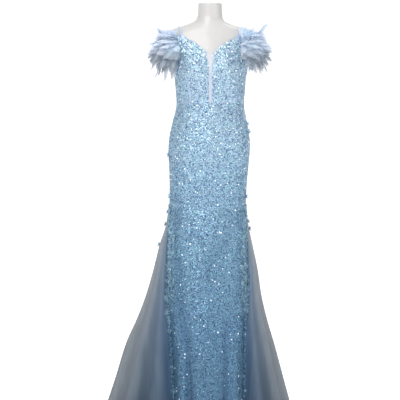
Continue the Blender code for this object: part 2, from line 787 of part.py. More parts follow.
def make_applique(side, word):
    """A scalloped strip with raised flowers, on the front skirt beside the godet seam."""
    rows, columns = 30, 4
    grid, heights = [], {}
    for along in spaced(0.0, 1.0, rows):
        height = APPLIQUE_LOW + (APPLIQUE_TOP - APPLIQUE_LOW) * along
        taper = min(1.0, 0.25 + 4.0 * along, 0.25 + 4.0 * (1 - along))
        wide = (APPLIQUE_ANGLES[1] - APPLIQUE_ANGLES[0]) * taper
        low = APPLIQUE_ANGLES[1] - wide * (0.84 + 0.16 * math.cos(math.pi * along * APPLIQUE_MOTIFS))
        row = []
        for u in spaced(0.0, 1.0, columns):
            angle = low + (APPLIQUE_ANGLES[1] - low) * u
            heights[(side * angle, height)] = motif(along, u)
            row.append((side * angle, height))
        grid.append(row)

    def top(angle, height):
        return APPLIQUE_LIFT + APPLIQUE_THICK + APPLIQUE_RISE * heights[(angle, height)]

    wall(f"applique_{word}", front_point, grid, APPLIQUE_LIFT, top, "applique")


def make_bloom(name, bloom):
    """A five-petalled flower that stands on the cloth at its centre and lifts at its tips."""
    if bloom.surface == "skirt":
        surface = facets_of(front_point, front_stations(), skirt_heights())
        lift = OUTER + SEAM
    else:
        side = 1 if bloom.surface == "godet_left" else -1
        places = [0.5 + share for share in spaced(-0.5, 0.5, 2 * GODET_COLUMNS)]
        surface = facets_of(godet_side(side), places, godet_heights())
        lift = TULLE + SEAM
    foot = lifted(surface, bloom.across, bloom.height, lift)
    out = (lifted(surface, bloom.across, bloom.height, lift + BLOOM_LIFT) - foot).normalized()
    across = out.cross(Vector((0, 0, 1))).normalized()
    up = across.cross(out).normalized()
    rim = 2 * PETALS
    points = []
    for thick in (0.0, BLOOM_THICK):
        points.append(foot + out * thick)
        for i in range(rim):
            turn = 2 * math.pi * i / rim
            reach = bloom.radius * (0.74 + 0.26 * math.cos(PETALS * turn))
            rise = BLOOM_LIFT * reach / bloom.radius + thick
            flat = across * (reach * math.cos(turn)) + up * (reach * math.sin(turn))
            points.append(foot + flat + out * rise)
    faces = []
    over = rim + 1
    for i in range(rim):
        here, after = 1 + i, 1 + (i + 1) % rim
        faces.append((0, after, here))
        faces.append((over, over + here, over + after))
        faces.append((here, after, over + after, over + here))
    solid(name, points, faces, "applique")


def block(name, low, high, finish):
    """A box between two corners."""
    square = ((low[0], low[1]), (high[0], low[1]), (high[0], high[1]), (low[0], high[1]))
    return lofted(name, [[Vector((x, y, z)) for x, y in square] for z in (low[2], high[2])], finish)


def barrel(name, radius, half_length, centre, sides, finish):
    """A round bar along X."""
    turns = [2 * math.pi * i / sides for i in range(sides)]
    rim = [(radius * math.cos(t), radius * math.sin(t)) for t in turns]
    rings = [[centre + Vector((x, y, z)) for y, z in rim] for x in (-half_length, half_length)]
    return lofted(name, rings, finish, centre)


def combine(target, tools):
    """Applies (operation, tool) pairs to a piece as Booleans, and hides the tools."""
    for operation, tool in tools:
        step = target.modifiers.new(operation, "BOOLEAN")
        step.operation = operation
        step.solver = "EXACT"
        step.object = tool
        tool.hide_render = True
        tool.display_type = "WIRE"


def make_zip():
    """The slider at the top of the centre back seam, with its hanging pull tab."""
    across, tall, deep = SLIDER
    bore_radius, knuckle_radius = KNUCKLE
    slider_low = ZIP_TOP - tall
    seat = max(lifted(back_point, 180.0, z, OUTER).y for z in (slider_low, ZIP_TOP)) + FIT
    face = seat + deep
    lean = BODY["lean"](ZIP_TOP)
    half = across / 2
    slider = block("zip_slider", (lean - half, seat, slider_low), (lean + half, face, ZIP_TOP), "zip_metal")
    pin = Vector((lean, face + knuckle_radius + FIT, ZIP_TOP - PIN_DROP))
    tools = []
    for word, x in (("left", lean + half - LUG_THICK), ("right", lean - half)):
        low = (x, face - deep / 2, pin.z - LUG_HALF)
        high = (x + LUG_THICK, pin.y + LUG_HALF, pin.z + LUG_HALF)
        tools.append(("UNION", block(f"lug_{word}", low, high, "zip_metal")))
    tools.append(("UNION", barrel("pin", PIN_RADIUS, half - LUG_THICK / 2, pin, 12, "zip_metal")))
    combine(slider, tools)

    inner = half - LUG_THICK - FIT
    wide, long, thick = PULL
    pull = barrel("zip_pull", knuckle_radius, inner, pin, 14, "zip_metal")
    bore = barrel("bore", bore_radius, 2 * inner, pin, 12, "zip_metal")
    low = (lean - inner * 0.8, pin.y - thick / 2, pin.z - long * 0.37)
    high = (lean + inner * 0.8, pin.y + thick / 2, pin.z - knuckle_radius * 0.75)
    neck = block("neck", low, high, "zip_metal")
    top, bottom = pin.z - long * 0.29, pin.z - long
    centre, reach = (top + bottom) / 2, (top - bottom) / 2
    rings = []
    for y in (pin.y - thick / 2, pin.y + thick / 2):
        ring = []
        for turn in spaced(0.0, 2 * math.pi, 14)[:-1]:
            x = wide / 2 * (0.80 - 0.20 * math.sin(turn)) * math.cos(turn)
            ring.append(Vector((lean + x, y, centre + reach * math.sin(turn))))
        rings.append(ring)
    tab = lofted("tab", rings, "zip_metal")
    combine(pull, [("UNION", neck), ("UNION", tab), ("DIFFERENCE", bore)])


def main():
    for left_over in list(bpy.data.objects):
        bpy.data.objects.remove(left_over)
    whole = bpy.data.objects.new("evening_dress", None)
    bpy.context.scene.collection.objects.link(whole)
    make_form()
    make_bodice()
    make_skirt()
    make_godets()
    for side, word in ((1, "left"), (-1, "right")):
        make_strap(side, word)
        make_sleeve(side, word)
        make_applique(side, word)
    for number, bloom in enumerate(BLOOMS, start=1):
        make_bloom(f"flower_{number:02d}", bloom)
    make_zip()


main()
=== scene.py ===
"""Evening dress of sequins, tulle and feathers on a dress form: the looks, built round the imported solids.

The front faces -Y. Left and right are the wearer's, so left is +X. Sizes are in metres, and in
millimetres in the columns of a table that are listed as such.
"""

import math
from collections import defaultdict, namedtuple

import bmesh
import bpy
import numpy as np
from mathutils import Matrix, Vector


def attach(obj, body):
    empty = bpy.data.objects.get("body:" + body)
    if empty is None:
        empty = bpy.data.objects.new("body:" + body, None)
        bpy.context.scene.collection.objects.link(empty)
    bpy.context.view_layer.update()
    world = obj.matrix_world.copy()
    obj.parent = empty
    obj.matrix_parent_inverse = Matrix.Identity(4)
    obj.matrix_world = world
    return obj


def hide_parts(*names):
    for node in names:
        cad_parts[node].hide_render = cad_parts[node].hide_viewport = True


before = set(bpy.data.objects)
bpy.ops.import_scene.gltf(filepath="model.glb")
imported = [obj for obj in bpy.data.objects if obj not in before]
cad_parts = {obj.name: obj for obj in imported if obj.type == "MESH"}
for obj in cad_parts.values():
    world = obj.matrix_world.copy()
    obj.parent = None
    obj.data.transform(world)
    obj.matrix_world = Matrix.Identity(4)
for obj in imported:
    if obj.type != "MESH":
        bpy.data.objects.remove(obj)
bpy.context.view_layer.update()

# Walls and seams, as the solids have them
CLEAR = 0.0024
CLOTH = 0.0015
OUTER = CLEAR + CLOTH
TULLE = 0.0012
SEAM = 0.0004
LAP = 0.0006

HEM = 0.006
GODET_TOP = 0.815
FORM_BOTTOM = 0.900
WAIST = 1.2166
INSERT_TOP = 1.4126
FORM_TOP = 1.6180
LEFT, RIGHT = 1, -1
WORDS = {LEFT: "left", RIGHT: "right"}


def table(fields, millimetres, *rows):
    """Rows with named fields, where the fields listed second are given in millimetres."""
    Row = namedtuple("Row", fields)
    small = [name in millimetres.split() for name in Row._fields]
    return [Row(*(v / 1000 if s else v for v, s in zip(row, small))) for row in rows]


# Level sections of the form and, below it, of the hanging skirt
SECTIONS = table(
    "height width front back parting lean",
    "height width front back parting lean",
    (6, 130, 72, 72, 122, -5),
    (120, 132, 73, 73, 110, -6),
    (250, 137, 76, 76, 94, -9),
    (400, 145.5, 80, 80, 72, -12),
    (550, 151, 85, 87, 48, -12),
    (700, 150, 90, 94, 24, -11),
    (770, 149, 92, 97, 10, -11),
    (810, 148.5, 93, 99, 0, -11),
    (840, 148.5, 94, 102, 0, -10),
    (910, 150.5, 97, 110, 0, -8),
    (970, 154.5, 100, 118, 0, -6),
    (1030, 158.5, 103, 122, 0, -5),
    (1055, 158.5, 103, 122, 0, -4),
    (1103, 152.5, 101, 112, 0, -3),
    (1151, 142.5, 96, 97, 0, -2),
    (1216.6, 130.5, 89, 82, 0, 0),
    (1271, 134.5, 96, 88, 0, 0),
    (1319, 138.5, 103, 97, 0, 0),
    (1343, 144, 104, 101, 0, 0),
    (1367, 154, 103, 104, 0, 0),
    (1399, 170, 99, 106, 0, 0),
    (1431, 182, 92, 103, 0, 0),
    (1463, 186, 83, 97, 0, 0),
    (1487, 184, 75, 90, 0, 0),
    (1503, 174, 69, 85, 0, 0),
    (1512, 158, 66, 81, 0, 0),
    (1523, 127, 62, 76, 0, 0),
    (1532, 99, 59, 71, 0, 0),
    (1541, 76, 56, 66, 0, 0),
    (1551, 60, 53, 60, 0, 0),
    (1563, 53, 51, 54, 0, 0),
    (1583, 50.5, 51, 50, 0, 0),
    (1618, 49, 52, 48, 0, 0),
)
BUST_HEIGHT = 1.350
BUST_APART = 0.078
BUST_RISE = 0.026
BUST_SPREAD = 0.052

# Cut lines of the bodice: angle from the centre front, and height
TOP_EDGE = table(
    "angle height",
    "height",
    (4.5, 1412.6), (8, 1424), (12.4, 1438), (19.3, 1454.5), (30.4, 1472.5), (39, 1486.5), (45, 1480),
    (54, 1430), (62, 1395), (74, 1360), (90, 1343), (106, 1360), (118, 1395), (126, 1430), (133, 1462),
    (141, 1450), (152, 1415), (166, 1374), (180, 1352),
)
PRINCESS_SEAM = table(
    "height angle", "height", (1216.6, 37.5), (1297, 38), (1352, 33), (1420, 33), (1486.5, 39)
)
PLUNGE = table(
    "height half_width", "height half_width",
    (1216.6, 6.6), (1310, 5.8), (1350, 6.6), (1380, 9.8), (1412.6, 13.7),
)
PLUNGE_EASE = 0.0035
PLUNGE_EASE_LOW = 1.350
PLUNGE_EASE_RISE = 0.07

# Hanging folds of the skirt: angle from the middle, depth at the hem, half width, where they begin
FOLD_FIELDS = ("angle depth half_width top", "depth top")
FRONT_FOLDS = table(
    *FOLD_FIELDS, (-37, -11, 8, 520), (-56, 6, 11, 480), (-12, 4, 12, 330), (30, -9, 8, 430), (50, 5, 11, 430)
)
BACK_FOLDS = table(*FOLD_FIELDS, (-58, 5, 11, 480), (-36, -9, 9, 500), (34, -9, 9, 470), (56, 5, 11, 450))

# Creases of the cloth: where, slope in degrees from the level, and depth, where minus is a trough
CREASES = table(
    "angle height slope depth half_length half_width",
    "height depth half_length half_width",
    (-52, 826, -4, -2.2, 50, 5),
    (-50, 812, -5, 1.8, 50, 6),
    (56, 838, 7, -1.8, 45, 5.5),
    (54, 824, 8, 1.4, 45, 6),
    (-62, 905, -12, -1.4, 40, 6),
    (64, 930, 12, -1.4, 40, 6),
    (-20, 700, -62, -2, 80, 9),
    (24, 655, 68, -2, 90, 9),
    (-70, 640, -80, 2, 90, 9),
    (4, 560, 84, -1.8, 110, 11),
    (-30, 1188, -9, -1.1, 34, 4.5),
    (38, 1180, 10, -1.1, 34, 4.5),
    (-66, 1245, 8, -1.2, 30, 4.5),
    (68, 1250, -8, -1.2, 30, 4.5),
    (-58, 1292, 16, -1.2, 26, 5),
    (60, 1288, -16, -1.2, 26, 5),
    (150, 1176, 6, -1.4, 50, 5.5),
    (208, 1170, -5, -1.4, 50, 5.5),
    (160, 1242, 4, -1.2, 40, 5),
    (202, 1246, -4, -1.2, 40, 5),
    (140, 930, 16, -2, 60, 8),
    (222, 922, -18, -2, 60, 8),
    (165, 868, 8, -1.8, 60, 7),
    (128, 820, 10, -2.2, 50, 6),
    (232, 812, -10, -2.2, 50, 6),
    (150, 660, 70, -2, 90, 10),
    (214, 640, -72, -2, 90, 10),
)
CREASE_RADIUS = 0.12  # of the body, to turn an angle into a length

# Dark banks of painted shade on the skirt's front, and how deep folds and creases are when in full painted
# shade
PAINTED_SHADE_BANKS = table(
    "angle half_width share low top",
    "low top",
    (-52, 9, 0.55, 300, 860),
    (-43, 7, 0.50, -200, 640),
    (56, 7, 0.35, 400, 860),
    (30, 7, 0.30, -200, 400),
    (82, 8, 0.30, 600, 1500),
    (-82, 8, 0.30, 600, 1500),
)
SHADED_FOLD = 0.009
SHADED_CREASE = 0.0035
BANK_FADE_TOP = 0.10
BANK_FADE_LOW = 0.12

# How far each tulle godet reaches from the middle of the form
REACHES = table(
    "height left right", "height left right",
    (6, 322, 416), (120, 291, 378), (263, 252, 333), (359, 224, 290), (455, 202, 254),
    (551, 188, 226), (647, 168, 202), (743, 149, 173), (815, 143, 164),
)
GODET_LAP = 0.004
GODET_BULGE = 0.26
GODET_LEAST = 0.0020
FLARE_POWER = 0.8
WAVE_SHARE = 0.42
WAVE_GROWTH = 1.15
WAVE_INSET = 0.07
WAVE_FIELDS = ("place depth half_width", "depth")
WAVES = {
    LEFT: table(
        *WAVE_FIELDS,
        (0.075, 10, 0.030), (0.145, -13, 0.034), (0.225, 12, 0.036), (0.305, -16, 0.036),
        (0.395, 10, 0.040), (0.445, -12, 0.026), (0.555, -12, 0.028), (0.630, 12, 0.036),
        (0.710, -15, 0.036), (0.790, 12, 0.036), (0.865, -12, 0.032), (0.930, 9, 0.028),
    ),
    RIGHT: table(
        *WAVE_FIELDS,
        (0.065, 11, 0.028), (0.130, -14, 0.032), (0.205, 14, 0.034), (0.285, -18, 0.036),
        (0.365, 13, 0.036), (0.435, -14, 0.030), (0.560, -14, 0.030), (0.640, 14, 0.036),
        (0.715, -18, 0.034), (0.795, 13, 0.034), (0.870, -13, 0.030), (0.935, 10, 0.026),
    ),
}

# Straps, sleeve bands and the feathers on them
STRAP_WIDTH = 0.0065
STRAP_THICK = 0.0018
STRAP_REST = 0.0009
STRAP_X = (0.1080, 0.1255, 0.0960)
STRAP_FRONT_LOW = 1.4640
STRAP_BACK_LOW = 1.4120
STRAP_RIDGE_LOW = 1.49
STRAP_RISE = (0.30, 0.42)
BAND_ANGLES = (41.0, 137.0)
BAND_LOW = 1.4290
BAND_HIGH = 1.4750
BACKING_ANGLES = (43.5, 134.0)
BACKING_LOW = 1.4350
BACKING_HIGH = 1.4690
BAND_FACE = OUTER + 0.0011 + CLOTH
BACKING_THICK = 0.0016
PLUME_CENTRE = (0.118, 0.004)

# Sequins, and how crowded small things may be on a cloth
SEQUIN_RADIUS = 0.0025
SEQUIN_SPACING = 0.0036
SEQUIN_TILT = 0.28
SEQUIN_LIFT = 0.0004
CROWDING = 1.6

# The camera looks straight on from far off, and its frame is 1.6 m wide at the dress
CAMERA_AWAY = 16.0
CAMERA_X = -0.0412
CAMERA_HEIGHT = 0.8306
FRAME_SIDE = 1.6

# Pole and base of the form
POLE_RADIUS = 0.0125
FLANGE_RADIUS = 0.036
FLANGE_THICK = 0.012
BASE_RADIUS = 0.165
BASE_EDGE = 0.008
BASE_THICK = 0.014
FIT = 0.0004
ZIP_TOP = 1.346
ZIP_BOTTOM = 1.020
ZIP_HALF_GAP = 0.42

# Flat sizes of the cut pieces, width by length
FLATS = {
    "centre_front": (0.120, 0.300),
    "side_front": (0.150, 0.275),
    "back": (0.215, 0.260),
    "plunge": (0.030, 0.200),
    "skirt_front": (0.430, 1.225),
    "skirt_back": (0.225, 1.225),
    "gore_left": (0.42, 0.86),
    "gore_right": (0.50, 0.86),
    "band": (0.200, 0.046),
}

# Fine work: the net of the plunge, the gores, rolled edges, boning channels and seams
NET_LIFT = 0.001
NET_THICK = 0.0005
GORE_WALL = 0.6 * TULLE
GORE_GAP = 1e-6
HEM_LIFT = 0.0006
HEM_RADIUS = 0.0008
TIP_RADIUS = 0.0009
# How far a wave stands out when the tulle gets full painted light or shade
FULL_WAVE = 0.014
EDGE_ROLL = 0.0012
PLUNGE_ROLL = 0.0009
SEAM_ROLL = 0.0009
ZIP_ROLL = 0.0010
BONE_RADIUS = 0.0011
BONE_TOP = 1.318
BONE_SQUASH = 0.6
CENTRE_RADIUS = 0.0014
CENTRE_TOP = 1.335
CENTRE_SQUASH = 0.7


class Curve:
    """A monotone cubic through the rows of a table, read at many places at once."""

    def __init__(self, knots, values):
        self.knots = np.array(knots, float)
        self.values = np.array(values, float)
        steps = np.diff(self.knots)
        slopes = np.diff(self.values) / steps
        before = 2 * steps[1:] + steps[:-1]
        after = steps[1:] + 2 * steps[:-1]
        turns = slopes[:-1] * slopes[1:] <= 0
        safe = np.where(turns, 1.0, slopes[:-1]), np.where(turns, 1.0, slopes[1:])
        inner = np.where(turns, 0.0, (before + after) / (before / safe[0] + after / safe[1]))
        self.tangents = np.concatenate([slopes[:1], inner, slopes[-1:]])

    def __call__(self, at):
        at = np.clip(np.asarray(at, float), self.knots[0], self.knots[-1])
        i = np.clip(np.searchsorted(self.knots, at) - 1, 0, len(self.knots) - 2)
        step = self.knots[i + 1] - self.knots[i]
        t = (at - self.knots[i]) / step
        start = (1 + 2 * t) * (1 - t) ** 2
        bend = t * (1 - t) ** 2 * step * self.tangents[i] - t * t * (1 - t) * step * self.tangents[i + 1]
        return start * self.values[i] + (1 - start) * self.values[i + 1] + bend


def curves_of(rows):
    """A curve over the first column of a table for each of the others."""
    columns = dict(zip(rows[0]._fields, zip(*rows)))
    first = rows[0]._fields[0]
    return {name: Curve(columns[first], values) for name, values in columns.items() if name != first}


BODY = curves_of(SECTIONS)
FLARE = curves_of(REACHES)
PLUNGE_HALF = curves_of(PLUNGE)["half_width"]
PRINCESS = curves_of(PRINCESS_SEAM)["angle"]
TOP = curves_of(TOP_EDGE)["height"]


def ease(t):
    t = np.clip(t, 0.0, 1.0)
    return t * t * (3 - 2 * t)


def hump(distance):
    return np.exp(-(distance**2))


def bust(x, height):
    """How far the bust stands forward of the plain section."""
    both = sum(hump((x - c) / BUST_SPREAD) for c in (-BUST_APART, BUST_APART))
    return BUST_RISE * both * hump((height - BUST_HEIGHT) / BUST_SPREAD)


def folding(angle, height):
    """How far the skirt's hanging folds stand out, in front and behind."""

    def total(folds, turned):
        grown = [fold.depth * ease((fold.top - height) / (fold.top - HEM)) for fold in folds]
        return sum(g * hump((turned - fold.angle) / fold.half_width) for g, fold in zip(grown, folds))

    return np.where(angle <= 90, total(FRONT_FOLDS, angle), total(BACK_FOLDS, 180 - angle))


def skin(angle, height):
    """Points of the form's skin, and below it of the skirt. Angles run from -90 to 270."""
    angle, height = np.broadcast_arrays(np.asarray(angle, float), np.asarray(height, float))
    turn = np.radians(angle)
    out = folding(angle, height)
    x = (BODY["width"](height) + out) * np.sin(turn)
    front = (BODY["front"](height) + out + bust(x, height)) * np.cos(turn) + BODY["parting"](height)
    back = (BODY["back"](height) + out) * np.cos(turn) - BODY["parting"](height)
    return np.stack([BODY["lean"](height) + x, -np.where(angle <= 90, front, back), height], -1)


def waves_of(side, from_front):
    return sum(w.depth * hump((from_front - w.place) / w.half_width) for w in WAVES[side])


def godet(side):
    """Points of a tulle godet. Place runs round the body, so from back to front on the right."""

    def surface(place, height):
        place, height = np.broadcast_arrays(np.asarray(place, float), np.asarray(height, float))
        from_front = place if side > 0 else 1 - place
        parted = np.copysign(SEAM / 2, 0.5 - from_front)
        turn = math.pi * from_front
        lean = BODY["lean"](height)
        edge = BODY["width"](height) + OUTER + SEAM
        flare = np.maximum(FLARE[WORDS[side]](height) - side * lean - edge, GODET_LEAST)
        inset = np.clip(np.minimum(from_front, 1 - from_front) / WAVE_INSET, 0.0, 1.0)
        grown = ease((GODET_TOP - height) / (GODET_TOP - HEM) * WAVE_GROWTH)
        out = WAVE_SHARE * waves_of(side, from_front) * grown * ease(inset)
        level = edge + flare * np.clip(np.sin(turn), 0.0, 1.0) ** FLARE_POWER
        depth = (BODY["parting"](height) + GODET_LAP) * np.cos(turn)
        depth = depth + GODET_BULGE * flare * np.sin(2 * turn)
        x = lean + side * (level + out * np.sin(turn))
        return np.stack([x, -(depth + parted + out * np.cos(turn)), height], -1)

    return surface


def lifted(surface, across, height, lift):
    """Points of a surface moved out along its normal."""
    step = 1e-4
    along = surface(across + step, height) - surface(across - step, height)
    up = surface(across, height + step) - surface(across, height - step)
    out = np.cross(along, up)
    out /= np.maximum(np.linalg.norm(out, axis=-1, keepdims=True), 1e-12)
    return surface(across, height) + out * np.asarray(lift)[..., None]


def creasing(angle, height):
    """How far the cloth's creases move it in or out."""
    total = np.zeros(np.broadcast(angle, height).shape)
    for crease in CREASES:
        slope = math.radians(crease.slope)
        right = np.radians(angle - crease.angle) * CREASE_RADIUS
        up = height - crease.height
        along = right * math.cos(slope) + up * math.sin(slope)
        off = up * math.cos(slope) - right * math.sin(slope)
        total += crease.depth * hump(along / crease.half_length) * hump(off / crease.half_width)
    return total


def painted_shade_depth(angle, height):
    """How much painted shade a place gets, from 0 to 1, by how deep it lies in a fold or a crease and in the
    dark banks.
    """
    depth = -(folding(angle, height) / SHADED_FOLD + creasing(angle, height) / SHADED_CREASE)
    for bank in PAINTED_SHADE_BANKS:
        ends = ease((bank.top - height) / BANK_FADE_TOP) * ease((height - bank.low) / BANK_FADE_LOW)
        depth = depth + bank.share * hump((angle - bank.angle) / bank.half_width) * ends
    return np.clip(depth, 0.0, 1.0)


def heading_of(points):
    """The unit direction of a path at each of its points."""
    heading = np.gradient(points, axis=0)
    return heading / np.linalg.norm(heading, axis=1, keepdims=True)


def maths(operation, turned=False):
    """An operator that adds a Math node for two numbers, in turned order where asked."""

    def act(self, other):
        first, second = (other, self) if turned else (self, other)
        out = self.tree.out("ShaderNodeMath", {"operation": operation}, {0: first, 1: second})
        return Number(self.tree, out)

    return act


class Number:
    """A number in a node tree. Sums on it add Math nodes."""

    def __init__(self, tree, socket):
        self.tree = tree
        self.socket = socket

    __add__ = __radd__ = maths("ADD")
    __mul__ = __rmul__ = maths("MULTIPLY")
    __sub__ = maths("SUBTRACT")
    __rsub__ = maths("SUBTRACT", turned=True)
    __truediv__ = maths("DIVIDE")
    __rtruediv__ = maths("DIVIDE", turned=True)
    __pow__ = maths("POWER")


class Tree:
    """A node tree, with one way to add any node."""

    def __init__(self, tree):
        self.nodes = tree.nodes
        self.links = tree.links

    def plug(self, socket, value):
        value = value.socket if isinstance(value, Number) else value
        if isinstance(value, bpy.types.NodeSocket):
            self.links.new(value, socket)
        else:
            colour = socket.type == "RGBA" and len(value) == 3
            socket.default_value = (*value, 1.0) if colour else value

    def node(self, kind, settings=None, sockets=None):
        made = self.nodes.new(kind)
        for name, value in (settings or {}).items():
            if name == "stops":
                self.stop_ramp(made.color_ramp, value)
            else:
                setattr(made, name, value)
        for name, value in (sockets or {}).items():
            self.plug(made.inputs[name], value)
        return made

    def out(self, kind, settings=None, sockets=None):
        """The first output of a new node."""
        return self.node(kind, settings, sockets).outputs[0]

    @staticmethod
    def stop_ramp(ramp, stops):
        while len(ramp.elements) < len(stops):
            ramp.elements.new(1.0)
        for element, (at, *colour) in zip(ramp.elements, stops):
            element.position = at
            element.color = (*colour, 1.0)


class Finish(Tree):
    """A material made of nodes."""

    def __init__(self, name, **constants):
        self.material = bpy.data.materials.new(name)
        self.material.use_nodes = True
        super().__init__(self.material.node_tree)
        self.surface = self.nodes["Principled BSDF"]
        self.wear(**constants)

    def wear(self, **values):
        """Sets sockets of the surface, named with underscores for spaces."""
        for name, value in values.items():
            self.plug(self.surface.inputs[name.replace("_", " ")], value)

    def place(self):
        return self.node("ShaderNodeTexCoord").outputs["Object"]

    def height(self):
        parts = self.node("ShaderNodeSeparateXYZ", sockets={"Vector": self.place()})
        return Number(self, parts.outputs["Z"])

    def attribute(self, name):
        return Number(self, self.node("ShaderNodeAttribute", {"attribute_name": name}).outputs["Fac"])

    def uv(self):
        place = self.node("ShaderNodeUVMap", {"uv_map": "cloth"}).outputs["UV"]
        parts = self.node("ShaderNodeSeparateXYZ", sockets={"Vector": place})
        return Number(self, parts.outputs["X"]), Number(self, parts.outputs["Y"])

    def stretched(self, scale):
        """Object coordinates scaled apart along each axis."""
        sockets = {"Vector": self.place(), "Scale": scale}
        return self.node("ShaderNodeMapping", sockets=sockets).outputs["Vector"]

    def noise(self, scale, detail=2.0, vector=None):
        vector = self.place() if vector is None else vector
        sockets = {"Vector": vector, "Scale": scale, "Detail": detail}
        return Number(self, self.node("ShaderNodeTexNoise", sockets=sockets).outputs["Fac"])

    def spread(self, value, low, high):
        """A number that grows from 0 to 1 between two values."""
        sockets = {"Value": value, "From Min": low, "From Max": high}
        node = self.node("ShaderNodeMapRange", {"interpolation_type": "SMOOTHSTEP"}, sockets)
        return Number(self, node.outputs["Result"])

    def ramp(self, factor, stops, interpolation="LINEAR"):
        node = self.node("ShaderNodeValToRGB", {"stops": stops}, {"Fac": factor})
        node.color_ramp.interpolation = interpolation
        return node.outputs["Color"]

    def mix(self, factor, first, second, blend="MIX"):
        settings = {"data_type": "RGBA", "blend_type": blend}
        return self.node("ShaderNodeMix", settings, {0: factor, 6: first, 7: second}).outputs[2]

    def times(self, first, second):
        return self.mix(1.0, first, second, "MULTIPLY")

    def bump(self, height, strength, distance):
        sockets = {"Height": height, "Strength": strength, "Distance": distance}
        self.wear(Normal=self.node("ShaderNodeBump", sockets=sockets).outputs["Normal"])

    def blues_with_painted_shade(self):
        """The cloth's blue from the hem up, darker towards the hem as painted shade."""
        return self.ramp(self.height() / RAMP_TOP, BLUES_WITH_PAINTED_SHADE)


# The cloth's blue from the hem, 0, up to 1.6 m, 1, darker towards the hem as painted shade for light that
# falls off lower down
RAMP_TOP = 1.6
BLUES_WITH_PAINTED_SHADE = (
    (0.00, 0.094, 0.206, 0.325),
    (0.20, 0.138, 0.285, 0.430),
    (0.38, 0.222, 0.398, 0.548),
    (0.56, 0.330, 0.514, 0.670),
    (0.68, 0.450, 0.636, 0.785),
    (0.80, 0.440, 0.605, 0.745),
    (0.90, 0.510, 0.664, 0.778),
)
# How single sequins differ from it, for a tone from 0 to 1
SEQUIN_TINTS = (
    (0.00, 0.20, 0.30, 0.48),
    (0.12, 0.56, 0.66, 0.80),
    (0.26, 1.00, 1.05, 1.05),
    (0.60, 1.17, 1.17, 1.11),
    (0.84, 1.22, 1.04, 1.22),
    (0.90, 0.74, 1.22, 1.12),
    (0.94, 1.46, 1.38, 1.22),
)
# Tulle by the panels, half way and at the flare, each from the hem up, darker towards the hem as painted
# shade. By the panels it is darker partly from denser layers and partly as painted shade in the recess behind
# the panel's edge
NEAR_TULLE = ((0.0, 0.015, 0.050, 0.106), (0.5, 0.050, 0.112, 0.208), (1.0, 0.13, 0.23, 0.36))
MIDDLE_TULLE = ((0.0, 0.044, 0.072, 0.106), (0.5, 0.150, 0.196, 0.256), (1.0, 0.29, 0.36, 0.44))
FAR_TULLE = ((0.0, 0.165, 0.192, 0.225), (0.5, 0.270, 0.302, 0.332), (1.0, 0.34, 0.39, 0.44))
# Painted shade of the plumes from the lowest to the highest: the lower plumes are darker
PLUME_PAINTED_SHADES = (
    (0.00, 0.46, 0.49, 0.52),
    (0.35, 0.54, 0.58, 0.62),
    (0.62, 0.95, 0.97, 1.00),
    (0.85, 0.96, 0.97, 1.00),
)
PLUME_PAINTED_SHADE_SPAN = (1.32, 1.52)


def sequin_finish():
    """Small mirrors in blues, with lilac, green and dark ones among them, darker in folds and creases as
    painted shade, and a few that glow near white as painted glints.
    """
    made = Finish("sequin_foil", Specular_IOR_Level=0.7, Coat_Roughness=0.08, Emission_Strength=1.0)
    tone = made.attribute("tone")
    height = made.height()
    # The cloth's blue, darker towards the hem as painted shade
    blues = made.ramp(height / RAMP_TOP, BLUES_WITH_PAINTED_SHADE)
    colour = made.times(blues, made.ramp(tone, SEQUIN_TINTS, "CONSTANT"))
    # Painted shade: darker in folds, creases and the dark banks
    with_painted_shade = made.mix(made.attribute("shade"), colour, made.times(colour, (0.40, 0.52, 0.62)))
    # Painted glints: a few sequins are white and glow, and more of them higher up, where more light falls
    least = 0.9935 - 0.010 * (height / RAMP_TOP) ** 3.0
    painted_glint = made.spread(tone, least - 0.003, least + 0.006)
    made.wear(Base_Color=made.mix(painted_glint, with_painted_shade, (1.0, 1.0, 1.0)))
    made.wear(Metallic=0.5 * (1 - painted_glint), Roughness=0.24 + 0.16 * made.noise(300.0))
    made.wear(Emission_Color=made.mix(painted_glint, (0, 0, 0), (0.9, 0.95, 1.0)))
    return made.material


def net_finish():
    """The blue net and backing that the sequins are sewn to, mixed in patches towards dark blue, partly as
    painted shade in the gaps between the sequins.
    """
    made = Finish("sequin_backing", Roughness=0.7, Sheen_Weight=0.3, Sheen_Roughness=0.4)
    dark_patches_and_gap_shade = 0.45 + 0.3 * made.noise(420.0)
    made.wear(Base_Color=made.mix(dark_patches_and_gap_shade, made.blues_with_painted_shade(), (0.035, 0.090, 0.190)))
    made.bump(made.noise(900.0), 0.4, 0.0004)
    return made.material


def satin_finish():
    """Soft satin of the straps, rolled edges and seam bindings."""
    made = Finish("satin_binding", Sheen_Weight=0.35, Sheen_Roughness=0.3)
    threads = made.noise(60.0, 3.0, made.stretched((1.0, 1.0, 9.0)))
    blues = made.ramp(threads, ((0.2, 0.33, 0.43, 0.68), (0.8, 0.50, 0.60, 0.82)))
    made.wear(Base_Color=blues, Roughness=0.38 + 0.2 * threads)
    made.bump(made.noise(1400.0), 0.25, 0.0003)
    return made.material


def channel_finish():
    """Paler binding over the boning channels and the centre line."""
    made = Finish("boning_channel", Sheen_Weight=0.3)
    grain = made.noise(500.0)
    blues = made.mix(grain, (0.42, 0.54, 0.74), (0.54, 0.64, 0.82))
    made.wear(Base_Color=blues, Roughness=0.45 + 0.2 * grain)
    return made.material


